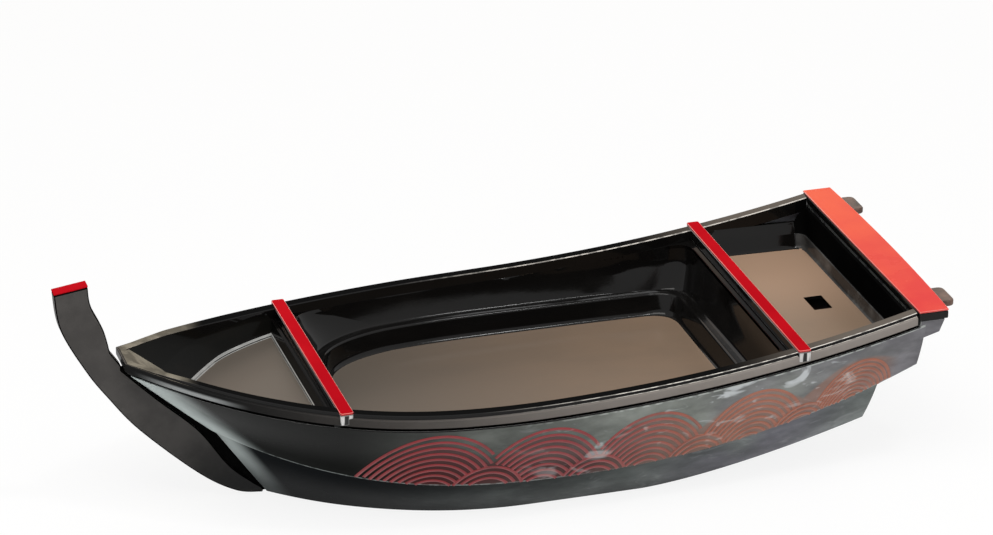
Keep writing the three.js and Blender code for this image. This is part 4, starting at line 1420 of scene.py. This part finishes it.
def tray_rings(wall):
    aft = front_bar_x + BULKHEAD / 2 - wall
    front = tray_front_x + wall
    floor = float(rim_height(front_bar_x)) - TRAY_DEPTH
    ledge = floor + TRAY_STEP
    side_top = float(rim_height(front_bar_x)) + RAIL_HEIGHT
    nose_top = float(rim_height(tray_front_x) + above_rim(tray_front_x, RIM_HEIGHT))
    share = (nose_top - side_top) / (nose_top - ledge)
    inner_run = TRAY_WALL_RUN + TRAY_STEP_WIDTH
    back = TRAY_NOSE_RUN + TRAY_STEP_WIDTH
    levels = [
        (nose_top, 0, 0),
        (side_top, 0, TRAY_NOSE_RUN * share),
        (ledge, TRAY_WALL_RUN, TRAY_NOSE_RUN),
        (ledge, inner_run, back),
        (floor, inner_run, back),
        (floor, inner_run + TRAY_FLOOR_RUN, back + TRAY_FLOOR_RUN),
    ]
    rings = []
    for z, run, nose_back in soft_levels(levels, TRAY_FILLETS):
        side = lambda x: np.minimum(inner_half(x - wall) - run, well_half(x, z))
        half = lambda x: np.maximum(side(x), LEAST_HALF) + wall
        tray_aft = aft + run * TRAY_AFT_SHARE
        plan = tray_outline(tray_aft, front - nose_back, half, TRAY_SHOULDER * nose_back / back)
        lip = rim_height(plan[:, 0]) + above_rim(plan[:, 0], RIM_HEIGHT) - TRAY_LIP
        ramp = deck_level(plan[:, 0]) + (plan[:, 0] - aft) * (RIM_HEIGHT / END_RAMP)
        height = np.minimum(z, np.minimum(lip, ramp)) - wall * (z <= ledge)
        rings.append(np.column_stack([plan, height]))
    return rings


tray = tub_mesh("bow_tray", tray_rings)
print("bow tray", len(tray.polygons), "faces")

# %% [markdown]
# The aft well is a flat deck with rounded corners and a step along its end wall. A small oblong slot
# in it takes the foot of a mast. The slot could be cut by a boolean, but the floor is one flat ring,
# so faces are filled between that ring and the slot's outline, which leaves no stray edges.

# %% Aft well with its mast slot
AFT_DEPTH = 11.7 * MM
AFT_WALL_RUN = 8 * MM
AFT_FORE_SHARE = 1 / 4
AFT_STEP = 10 * MM
AFT_STEP_WIDTH = 1.6 * MM
AFT_ROUND = 7 * MM
AFT_FILLETS = (2 * MM, 0.7 * MM, 0.7 * MM, 3 * MM)
AFT_FLOOR_RUN = 5 * MM
MAST_X = -213.5 * MM
MAST_LENGTH = 13.5 * MM
MAST_WIDTH = 22.4 * MM
MAST_ROUND = 0.8 * MM
aft_floor = float(rim_height(rear_bar_x)) - AFT_DEPTH


def aft_rings(wall):
    aft = deck_aft_x + TUB_WALL - wall
    fore = rear_bar_x - BULKHEAD / 2 + wall
    step = aft_floor + AFT_STEP
    wall_top = float(rim_height(rear_bar_x)) + RAIL_HEIGHT
    step_run = AFT_WALL_RUN / 2
    levels = [
        (deck_high.z, 0, 0),
        (wall_top, 0, 0),
        (step, step_run, 0),
        (step, step_run, AFT_STEP_WIDTH),
        (aft_floor, AFT_WALL_RUN, AFT_STEP_WIDTH),
        (aft_floor, AFT_WALL_RUN + AFT_FLOOR_RUN, AFT_STEP_WIDTH + AFT_FLOOR_RUN),
    ]
    top_x = [aft, aft + AFT_ROUND, fore - END_RAMP, fore]
    top_z = [gallery_top, wall_top, wall_top, float(deck_level(fore))]
    rings = []
    for z, run, end_step in soft_levels(levels, AFT_FILLETS):
        half = lambda x: np.minimum(inner_half(x) - run, well_half(x, z)) + wall
        plan = well_outline(aft + end_step, fore - run * AFT_FORE_SHARE, half, AFT_ROUND, AFT_ROUND)
        height = np.minimum(z, np.interp(plan[:, 0], top_x, top_z)) - wall * (z <= aft_floor)
        rings.append(np.column_stack([plan, height]))
    return rings


def slot_in_floor(mould, floor_ring, under_ring):
    """Fills the floor and its underside round the mast slot, and lines the slot."""
    half_length, half_width = MAST_LENGTH / 2, MAST_WIDTH / 2
    signs = [(-1, -1), (1, -1), (1, 1), (-1, 1)]
    corners = [(MAST_X + i * half_length, j * half_width) for i, j in signs]
    plan = rounded(corners, [MAST_ROUND] * 4)
    slot_rings = []
    for ring in (floor_ring, under_ring):
        z = mould.points[ring[0]][2]
        slot_ring = mould.ring([(x, y, z) for x, y in plan])
        both = ring + slot_ring
        loops = [[Vector(mould.points[i]) for i in loop] for loop in (ring, slot_ring)]
        mould.faces.extend(tuple(both[i] for i in triangle) for triangle in tessellate_polygon(loops))
        slot_rings.append(slot_ring)
    mould.bridge(*slot_rings)


aft_well = tub_mesh("aft_well", aft_rings, slot_in_floor)
print("aft well", len(aft_well.polygons), "faces")

# %% [markdown]
# Between the wells lie narrow decks, the lands that the crossbars rest on. A land is a thin plate: on
# one side it follows the rounded end of the basin, and on the other it runs straight across. The rim,
# the tubs and the lands are one moulding on the real boat, so they become one piece here.

# %% Lands under the crossbars, and the finished deck
LAND_THICKNESS = 2.4 * MM
RAIL_FACE = COAMING_STEP - 0.25 * MM
LEVEL_TILT = 0.95
LIP_TILT = 0.2
FLOOR_REACH = 0.3 * MM
END_WALL_REACH = 9 * MM
tray_floor = float(rim_height(front_bar_x)) - TRAY_DEPTH
floor_levels = (aft_floor, tray_floor, BOAT.sheer_low - BASIN_DEPTH)


def land_mesh(name, straight_x, at_bow):
    basin_top = basin_rings(0)[0]
    half_count = len(basin_top) // 2
    end = CORNER_STEPS + 1
    port = basin_top[half_count - end:half_count] if at_bow else basin_top[:end][::-1]
    edge = np.concatenate([port, port[::-1] * (1, -1, 1)])
    far = float(deck_level(straight_x))
    rings = []
    for x, y, _ in edge:
        top = [(x, y, float(deck_level(x))), (straight_x, y, far)]
        rings.append(top + [(i, j, z - LAND_THICKNESS) for i, j, z in reversed(top)])
    mould = Mould()
    mould.solid(rings)
    return mould.mesh(name)


front_land = land_mesh("front_land", front_bar_x + BULKHEAD / 2, True)
rear_land = land_mesh("rear_land", rear_bar_x - BULKHEAD / 2, False)
deck_mesh = joined_mesh("deck", [rim, basin, tray, aft_well, front_land, rear_land])
deck_finishes = [deck_lacquer, rail_lacquer, well_floor, painted_step_highlight, coaming_top, coaming_lip]
deck_finishes += [painted_shade_black, painted_wall_reflection, dim_black]
deck = place_piece(deck_mesh, "deck_moulding", deck_finishes)


def deck_finish(face):
    """The finish that a face of the deck takes, by its place and its tilt."""
    x, y, z = face.center
    tilt = face.normal.z
    if rim_half(x) - abs(y) < RAIL_FACE or BOAT.bow_x - x < RAIL_FACE:
        return rail_lacquer
    if z - rim_height(x) > RAIL_HEIGHT - FLOOR_REACH and tilt > LIP_TILT:
        return coaming_top if tilt > LEVEL_TILT else coaming_lip
    if tilt > LEVEL_TILT and min(abs(z - level) for level in floor_levels) < FLOOR_REACH:
        return well_floor
    if x > front_bar_x and tilt > LIP_TILT:
        # The step round the tray's floor takes a painted highlight.
        if tray_floor < z < tray_floor + TRAY_STEP + FLOOR_REACH:
            return painted_step_highlight
        # The ramp at the front of the tray takes the coaming top's painted reflection.
        on_ramp = abs(y) < TRAY_FRONT_HALF and face.normal.x < -LIP_TILT
        return coaming_top if on_ramp else dim_black
    # The aft end wall takes a painted reflection in grey at its foot and painted shade above it.
    if x < deck_aft_x + END_WALL_REACH and (face.normal.x > 0 or tilt > LIP_TILT):
        return painted_wall_reflection if z < aft_floor + AFT_STEP else painted_shade_black
    return deck_lacquer


for face in deck.data.polygons:
    face.material_index = deck_finishes.index(deck_finish(face))

# %% [markdown]
# The crossbars, the transom board and the lugs are plates with an outline in plan. Each is an outline
# carried straight up and then given rounded edges. The bars and the board are black below and have a
# red top, which is a piece of its own.


# %% Plates, crossbars and their red tops
def plate_mesh(name, outline, low, high):
    mould = Mould()
    mould.solid([[(x, y, z) for x, y in outline] for z in (low, high)])
    return mould.mesh(name)


BAR_END_ROUND = 1.6 * MM
BAR_END_PROUD = 0.4 * MM
BAR_EDGE = 0.5 * MM
CAP_EDGE = 0.32 * MM

for bar, bar_x in (("front_crossbar", front_bar_x), ("rear_crossbar", rear_bar_x)):
    low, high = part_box(bar)
    cap_low, cap_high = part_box(bar + "_cap")
    half = float(rim_half(bar_x)) + BAR_END_PROUD
    corners = [(low.x, -half), (high.x, -half), (high.x, half), (low.x, half)]
    outline = rounded(corners, [BAR_END_ROUND] * 4)
    body = plate_mesh(bar, outline, float(deck_level(bar_x)), high.z)
    # The bar's ends take painted glints, and its rounded edges a painted highlight.
    piece = place_piece(body, bar, [deck_lacquer, bar_end_glints, painted_edge_highlight], BAR_EDGE)
    for face in piece.data.polygons:
        face.material_index = int(abs(face.center.y) > half - BAR_END_ROUND)
    cap = plate_mesh(bar + "_cap", outline, cap_low.z, cap_high.z)
    place_piece(cap, bar + "_cap", [red, pale_edge_and_highlight], CAP_EDGE)

# %% [markdown]
# The transom board is a broad plank across the stern with a gently arched after edge. Two short lugs
# with rounded ends stand out from under it, where a rudder hangs on the full-size boat.

# %% Transom board and lugs
BOARD_ARCH = 2.6 * MM
BOARD_STEPS = 24
BOARD_EDGE = 0.8 * MM
LUG_ROUND = 5 * MM
LUG_ROUND_STEPS = 8
LUG_EDGE = 1.1 * MM
board_low, board_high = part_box("transom_board")
board_cap_low, board_cap_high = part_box("transom_board_cap")


def board_outline():
    half = board_high.y
    y = np.linspace(half, -half, BOARD_STEPS)
    aft = board_low.x + BOARD_ARCH * (y / half) ** 2
    return [(board_high.x, half)] + list(zip(aft, y)) + [(board_high.x, -half)]


board = plate_mesh("board", board_outline(), board_low.z, board_high.z)
place_piece(board, "transom_board", [deck_lacquer], BOARD_EDGE)
board_cap = plate_mesh("board_cap", board_outline(), board_cap_low.z, board_cap_high.z)
place_piece(board_cap, "transom_board_cap", [board_red, pale_edge_and_highlight], CAP_EDGE)

for side in ("port", "starboard"):
    node = side + "_stern_lug"
    low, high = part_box(node)
    corners = [(high.x, high.y), (low.x, high.y), (low.x, low.y), (high.x, low.y)]
    outline = rounded(corners, [0, LUG_ROUND, LUG_ROUND, 0], LUG_ROUND_STEPS)
    lug = plate_mesh(node, outline, low.z, high.z)
    place_piece(lug, node, [lug_black], LUG_EDGE)

# %% [markdown]
# The stem post is a flat curved plate that stands in front of the bow like a horn. Its outline is
# drawn from the leading edge of the hull: points a share of the way down that edge, moved forwards,
# with a smooth spline through them. Its top is cut off at a slight slope and carries a red tip.

# %% Outline of the stem post
STEM_GAP = 8 * MM
STEM_WIDTH = 28 * MM
STEM_BELLY = 7 * MM
STEM_TOE = 19 * MM
STEM_NECK = 7 * MM
STEM_CAP = 1.6 * MM
STEM_EDGE = 0.9 * MM
STEM_FRONT_GAP = 0.6 * MM
STEM_TIP_LENGTH = 23 * MM
STEM_TIP_SLOPE = 3.2 * MM
SPLINE_STEPS = 9
stem_low, stem_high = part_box("stem_post")
tip_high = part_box("stem_tip_cap")[1]

lead_top = np.array([BOAT.hull_bow_x, float(rim_height(BOAT.hull_bow_x))])
lead_chine = np.array([BOAT.chine_bow_x, float(chine_height(BOAT.chine_bow_x))])
lead_foot = np.array([BOAT.foot_x, float(bottom_height(BOAT.foot_x))])
rim_front = np.array([BOAT.bow_x + STEM_FRONT_GAP, float(rim_height(BOAT.bow_x))])
tip_rear = np.array([tip_high.x - STEM_TIP_LENGTH, tip_high.z])
tip_front = np.array([tip_high.x, tip_high.z - STEM_TIP_SLOPE])
below_cap = np.array([0, STEM_CAP])


def beside(start, end, share, forwards):
    """A point a share of the way down an edge, moved forwards."""
    return mix(start, end, share) + np.array([forwards, 0])


def spline(points):
    """A smooth curve through points, with the tangent at each set by its neighbours."""
    points = [points[0], *points, points[-1]]
    made = []
    for a, b, c, d in zip(points, points[1:], points[2:], points[3:]):
        for t in np.linspace(0, 1, SPLINE_STEPS, endpoint=False):
            bend = (2 * a - 5 * b + 4 * c - d) * t**2 + (3 * b - a - 3 * c + d) * t**3
            made.append((2 * b + (c - a) * t + bend) / 2)
    return [*made, points[-1]]


def stem_outline():
    front = STEM_GAP + STEM_WIDTH
    heel = beside(lead_chine, lead_foot, 0.96, STEM_EDGE)
    neck = spline([
        tip_rear - below_cap,
        beside(rim_front, tip_rear, 0.75, STEM_NECK / 2),
        beside(rim_front, tip_rear, 0.45, STEM_NECK / 4),
        beside(rim_front, tip_rear, 0.17, STEM_NECK / 2),
    ])
    rear = spline([
        rim_front - 2 * np.array([0, BOAT.shadow_gap]),
        beside(lead_top, lead_chine, 0.5, STEM_GAP),
        beside(lead_top, lead_chine, 1, STEM_GAP),
        beside(lead_chine, lead_foot, 0.55, STEM_GAP + STEM_EDGE),
        beside(lead_chine, lead_foot, 0.83, STEM_GAP / 2),
        beside(lead_chine, lead_foot, 0.93, STEM_EDGE),
    ])
    fore = spline([
        np.array([heel[0], stem_low.z]),
        beside(lead_chine, lead_foot, 0.94, STEM_TOE),
        beside(lead_chine, lead_foot, 0.62, front - STEM_BELLY / 2),
        beside(lead_top, lead_chine, 0.91, front + STEM_BELLY),
        beside(lead_top, lead_chine, 0.4, front),
        beside(lead_top, lead_chine, 0, STEM_WIDTH),
        beside(lead_top, tip_front, 0.53, STEM_WIDTH * 0.66),
        tip_front - below_cap,
    ])
    return [*neck, rim_front, *rear, heel, *fore]


print("the stem's outline has", len(stem_outline()), "points")

# %% [markdown]
# Behind the stem a thinner black tongue is let into the leading edge of the hull and holds the two
# together. Stem, tongue and tip are plates that stand on the centre line, so each is its outline
# carried straight across and given rounded edges.

# %% Stem, tongue and tip
TONGUE_THICKNESS = 6 * MM
TONGUE_GRIP = 1.5 * MM
TIP_LINE = 0.3 * MM


def standing_mesh(name, outline, half):
    """A plate on the centre line whose outline is drawn in X and Z."""
    mould = Mould()
    mould.solid([[(x, y, z) for x, z in outline] for y in (-half, half)])
    return mould.mesh(name)


def tongue_outline():
    """The thinner tongue that joins the stem to the leading edge of the hull."""
    grip = -TONGUE_GRIP
    return [
        beside(lead_top, lead_chine, 0.04, STEM_GAP),
        beside(lead_top, lead_chine, 1, STEM_GAP * 1.6),
        beside(lead_chine, lead_foot, 0.7, STEM_GAP * 1.4),
        beside(lead_chine, lead_foot, 1, STEM_GAP / 2),
        beside(lead_chine, lead_foot, 1, 4 * grip),
        beside(lead_top, lead_chine, 1, grip),
        beside(lead_top, lead_chine, 0.04, grip),
    ]


stem = standing_mesh("stem", stem_outline(), stem_high.y)
tongue = standing_mesh("tongue", tongue_outline(), TONGUE_THICKNESS / 2)
# The tongue takes the dull black of painted shade.
for face in tongue.polygons:
    face.material_index = 1
stem_mesh = joined_mesh("stem", [stem, tongue])
place_piece(stem_mesh, "stem_post", [satin, painted_shade_black], STEM_EDGE)
cap_foot = np.array([0, TIP_LINE]) - below_cap
tip = [tip_rear + cap_foot, tip_front + cap_foot, tip_front, tip_rear]
place_piece(standing_mesh("tip", tip, stem_high.y), "stem_tip_cap", [red], CAP_EDGE)

# %% [markdown]
# The wave fans are a traditional pattern: nested arcs like the ribs of a fan, standing side by side
# on the chine with small fans before the joints. They are thin raised lines of red lacquer, rustier
# towards the stern, and they share the haze, the painted reflection and the painted highlights of
# the sides. They could be painted on a picture, but raised lines catch the light, so one tree makes
# them as thin bands.

# %% Sizes and paint of the wave fans
FAN_SIZES = {
    "Pitch": FAN_PITCH,
    "First Fan X": FAN_FIRST_X,
    "Fans": 5,
    "Arcs": 9,
    "Small Arcs": 3,
    "Radius": 1.195,
    "Radius Trend": 0.65,
    "Arc Step": 0.0803,
    "Small Share": 0.545,
    "Centre Depth": 0.345,
    "Width per Rise": 41 * MM,
    "Stern Shrink": 0.30,
    "Lean": -3.5 * MM,
    "Line Width": 2.3 * MM,
    "Line Height": 0.16 * MM,
}
ARC_POINTS = 64
RISE_MIDDLE_X = 20 * MM
SHRINK_POWER = 4
LINE_ROOT = 0.15 * MM
NORMAL_STEP = 0.002
BOW_RED = (0.25, 0.016, 0.021)
STERN_RUST = (0.34, 0.105, 0.055)
WORN_RED = (0.07, 0.03, 0.03)
FAN_SHEEN = (0.62, 0.57, 0.54)


def fan_paint(name):
    material, start = new_material(name)
    rust = (1 - boat_x(start).ramp(*RUST_TO_RED)).blend(BOW_RED, STERN_RUST)
    wear = noise(start, 60, detail=4.0, roughness=0.6)
    worn = (wear.ramp(0.45, 0.8) * 0.4).blend(rust, WORN_RED)
    # The haze with its painted reflection and the painted highlights of the sides pale the fans.
    pale = side_haze_and_sheen(start) * 0.13 + painted_highlight_wipes(start) * 0.7
    sockets = {
        "Base Color": pale.clamped().blend(worn, FAN_SHEEN),
        "Roughness": 0.26 + wear * 0.2,
        "Specular IOR Level": 0.3,
    }
    finish_material(start, sockets)
    return material


paint = fan_paint("fan_lacquer")
print("made", paint.name, "for", FAN_SIZES["Fans"], "large fans on each side")

# %% [markdown]
# The fans are drawn flat first, with X along the boat and Y as the share up the strake, because
# circles and cuts are simple there. A half circle is copied for every arc of every fan and scaled,
# and attributes on each copy remember the middle and the number of its fan. The points that a
# neighbour or a small fan hides are then taken out.


# %% Arcs of the fans, drawn flat
def vector(start, x, y, z=0.0):
    return start.add("ShaderNodeCombineXYZ", None, {"X": x, "Y": y, "Z": z})


def attribute(start, name):
    return start.add("GeometryNodeInputNamedAttribute", {"data_type": "FLOAT"}, {"Name": name})


def both_of(first, second):
    both = first.add("GeometryNodeJoinGeometry", None, {"Geometry": first})
    both.tree.links.new(second.socket, both.socket.node.inputs[0])
    return both


def fan_radius(size, x):
    return size["Radius"] + (x - RISE_MIDDLE_X) * size["Radius Trend"]


def fan_shrink(size, fan):
    """The share of its width that a fan keeps; those near the stern are narrower."""
    return 1 - size["Stern Shrink"] * (fan / (size["Fans"] - 1)) ** SHRINK_POWER


def row_of_arcs(start, size, fans, arcs, first_x, share):
    """Half circles for every arc of every fan in a row."""
    index = start.add("GeometryNodeInputIndex")
    fan = (index / arcs).maths("FLOOR")
    arc = index - fan * arcs
    x = first_x - fan * size["Pitch"]
    radius = (share - arc * size["Arc Step"]) * fan_radius(size, x)
    middle = vector(start, x, size["Centre Depth"] * -1)
    copies = start.add("GeometryNodePoints", None, {"Count": fans * arcs, "Position": middle})
    for name, value in (("middle", x), ("fan", fan)):
        kind = {"data_type": "FLOAT", "domain": "POINT"}
        sockets = {"Geometry": copies, "Name": name, "Value": value}
        copies = start.add("GeometryNodeStoreNamedAttribute", kind, sockets)
    sockets = {"Resolution": ARC_POINTS, "Radius": 1.0, "Start Angle": 0.0, "Sweep Angle": math.pi}
    half = start.add("GeometryNodeCurveArc", {"mode": "RADIUS"}, sockets)
    scale = vector(start, radius * fan_shrink(size, fan) * size["Width per Rise"], radius, 1.0)
    sockets = {"Points": copies, "Instance": half, "Scale": scale}
    copies = start.add("GeometryNodeInstanceOnPoints", None, sockets)
    return start.add("GeometryNodeRealizeInstances", None, {"Geometry": copies})


def without(curves, hidden):
    sockets = {"Geometry": curves, "Selection": hidden}
    return curves.add("GeometryNodeDeleteGeometry", {"domain": "POINT"}, sockets)


def flat_arcs(start, size, flat_x, up):
    """All arcs, less what lies below the chine, past a neighbour or in a small fan."""
    last = size["Fans"] - 1
    small_first = size["First Fan X"] - size["Pitch"] / 2
    large = row_of_arcs(start, size, size["Fans"], size["Arcs"], size["First Fan X"], 1.0)
    small = row_of_arcs(start, size, last, size["Small Arcs"], small_first, size["Small Share"])
    below = up.maths("LESS_THAN", 0.0)
    aside = (flat_x - attribute(start, "middle")) / (size["Pitch"] / 2)
    fan = attribute(start, "fan")
    past_bow_side = aside.maths("GREATER_THAN", 1.0) * fan.maths("GREATER_THAN", 0.5)
    past_stern_side = aside.maths("LESS_THAN", -1.0) * fan.maths("LESS_THAN", last - 0.5)
    step = ((small_first - flat_x) / size["Pitch"]).maths("ROUND")
    step = step.maths("MAXIMUM", 0.0).maths("MINIMUM", last - 1)
    small_x = small_first - step * size["Pitch"]
    small_radius = size["Small Share"] * fan_radius(size, small_x) * fan_shrink(size, step)
    reach = ((flat_x - small_x) / size["Width per Rise"]) ** 2 + (up + size["Centre Depth"]) ** 2
    in_small = reach.maths("LESS_THAN", small_radius * small_radius)
    hidden = (below + past_bow_side + past_stern_side + in_small).clamped()
    return both_of(without(large, hidden), without(small, below))


print("each large fan has", FAN_SIZES["Arcs"], "arcs and each small one", FAN_SIZES["Small Arcs"])

# %% [markdown]
# The flat arcs are bent on to the strake by the same lines as the hull. Two small steps along the
# surface, one forwards and one up, give the outward direction, which lays a flat band along each
# arc with its root in the hull. The port side is then mirrored to starboard.


# %% Fans bent on to the strakes
def arrow(operation, first, second=(0, 0, 0)):
    return first.add("ShaderNodeVectorMath", {"operation": operation}, {0: first, 1: second})


def fan_tree(paint):
    tree, size = geometry_tree("wave_fans", {**FAN_SIZES, **SIZE_INPUTS}, False)
    start = Flow(tree)
    lines = lines_from(size)
    here = start.add("ShaderNodeSeparateXYZ", None, {"Vector": start.add("GeometryNodeInputPosition")})
    flat_x, up = here.out("X"), here.out("Y")
    length = lines.chine_bow_x - lines.transom_x + up * (lines.hull_bow_x - lines.chine_bow_x)
    along = (flat_x + size["Lean"] * up - lines.transom_x) / length
    place = vector(start, *upper_strake(along, up, lines))
    ahead = arrow("SUBTRACT", vector(start, *upper_strake(along + NORMAL_STEP, up, lines)), place)
    above = arrow("SUBTRACT", vector(start, *upper_strake(along, up + NORMAL_STEP, lines)), place)
    sockets = {
        "Curve": flat_arcs(start, size, flat_x, up),
        "Normal": arrow("NORMALIZE", arrow("CROSS_PRODUCT", above, ahead)),
    }
    facing = start.add("GeometryNodeSetCurveNormal", {"mode": "FREE"}, sockets)
    bent = start.add("GeometryNodeSetPosition", None, {"Geometry": facing, "Position": place})
    sockets = {"Width": size["Line Height"] + LINE_ROOT, "Height": size["Line Width"]}
    band = start.add("GeometryNodeCurvePrimitiveQuadrilateral", {"mode": "RECTANGLE"}, sockets)
    lift = vector(start, (size["Line Height"] - LINE_ROOT) / 2, 0.0)
    band = start.add("GeometryNodeSetPosition", None, {"Geometry": band, "Offset": lift})
    sockets = {"Curve": bent, "Profile Curve": band, "Fill Caps": True}
    port = start.add("GeometryNodeCurveToMesh", None, sockets)
    mirrored = start.add("GeometryNodeTransform", None, {"Geometry": port, "Scale": (1, -1, 1)})
    starboard = start.add("GeometryNodeFlipFaces", None, {"Mesh": mirrored})
    end_tree(tree, both_of(port, starboard), paint)
    return tree


no_start = bpy.data.meshes.new("no_start")
fans_mesh = grown_mesh("wave_fans", no_start, fan_tree(paint), {**FAN_SIZES, **boat_sizes})
fans_mesh.shade_smooth()
fans = bpy.data.objects.new("wave_fans", fans_mesh)
bpy.context.scene.collection.objects.link(fans)
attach(fans, "root")
print("wave fans", len(fans_mesh.polygons), "faces")

# %% [markdown]
# The studio is plain: a pale floor, a white world that only the camera and mirror-like reflections
# see, and a few soft lamps. Black gloss shows its form through what it mirrors, so the lamps
# are placed for their reflections: a warm panel and a low strip behind the boat, which the level
# decks and the rim mirror, a large lamp above for the hull and the red tops, and a small one that
# draws the bright spots.

# %% Floor and world
FLOOR_SIZE = 6.0
FLOOR_GLOW = 0.87
WORLD_FILL = 0.45
scene = bpy.context.scene
scene.view_settings.view_transform = "Standard"


def seen_rays(start):
    """1 for rays from the camera and from mirror-like surfaces."""
    path = start.add("ShaderNodeLightPath")
    mirrored = path.out("Is Glossy Ray") + path.out("Is Transmission Ray")
    return (path.out("Is Camera Ray") + mirrored).clamped()


def floor_material():
    material, start = new_material("pale_floor")
    cloud = noise(start, 3, detail=3.0)
    paper = cloud.blend((0.88, 0.88, 0.88), (0.92, 0.92, 0.92))
    matte = start.add("ShaderNodeBsdfDiffuse", None, {"Color": paper})
    glow = start.add("ShaderNodeEmission", None, {"Color": (1, 1, 1, 1), "Strength": 1.0})
    shown = start.add("ShaderNodeMixShader", None, {0: seen_rays(start) * FLOOR_GLOW, 1: matte, 2: glow})
    start.add("ShaderNodeOutputMaterial", None, {"Surface": shown})
    return material


def make_floor():
    mould = Mould()
    half = FLOOR_SIZE / 2
    corners = [(-half, -half, 0), (half, -half, 0), (half, half, 0), (-half, half, 0)]
    mould.faces.append(tuple(mould.ring(corners)))
    floor = bpy.data.objects.new("floor", mould.mesh("floor"))
    floor.data.materials.append(floor_material())
    scene.collection.objects.link(floor)


def make_world():
    world = bpy.data.worlds.new("studio")
    scene.world = world
    world.use_nodes = True
    world.node_tree.nodes.clear()
    start = Flow(world.node_tree)
    white = start.add("ShaderNodeBackground", None, {"Color": (1, 1, 1, 1), "Strength": 1.0})
    dim = start.add("ShaderNodeBackground", None, {"Color": (0.95, 0.97, 1, 1), "Strength": WORLD_FILL})
    shown = start.add("ShaderNodeMixShader", None, {0: seen_rays(start), 1: dim, 2: white})
    start.add("ShaderNodeOutputWorld", None, {"Surface": shown})


make_floor()
make_world()
print("floor of", FLOOR_SIZE, "m, world fill", WORLD_FILL)

# %% [markdown]
# A lamp here is a rectangle that glows on one side and looks at a point of the boat. Its width and
# height set how soft its light is and how large its mirror image gets on the lacquer. The lamps
# themselves are hidden from the camera.


# %% Lamps
def soft_lamp(name, place, aim, width, height, power, color):
    data = bpy.data.lights.new(name, "AREA")
    data.shape = "RECTANGLE"
    data.size = width
    data.size_y = height
    data.energy = power
    data.color = color
    lamp = bpy.data.objects.new(name, data)
    lamp.location = place
    lamp.rotation_euler = (Vector(aim) - Vector(place)).to_track_quat("-Z", "Y").to_euler()
    lamp.visible_camera = False
    scene.collection.objects.link(lamp)


soft_lamp(
    "top_lamp",
    place=(0.5, 0.9, 2.3),
    aim=(0, 0, 0),
    width=1.8,
    height=1.3,
    power=40,
    color=(1.0, 0.98, 0.95),
)
soft_lamp(
    "back_panel",
    place=(-0.63, -2.1, 1.0),
    aim=(0, 0, 0.08),
    width=2.6,
    height=0.7,
    power=4.0,
    color=(1.0, 0.55, 0.2),
)
soft_lamp(
    "small_lamp",
    place=(-0.5, 0.75, 1.9),
    aim=(0, 0, 0.08),
    width=0.22,
    height=0.22,
    power=7.0,
    color=(1.0, 1.0, 1.0),
)
soft_lamp(
    "low_strip",
    place=(-0.7, -1.95, 0.55),
    aim=(0.1, 0, 0.1),
    width=2.4,
    height=0.3,
    power=6.0,
    color=(1.0, 0.93, 0.8),
)

# %% [markdown]
# Last, the view layer is brought up to date.

# %% The end
bpy.context.view_layer.update()
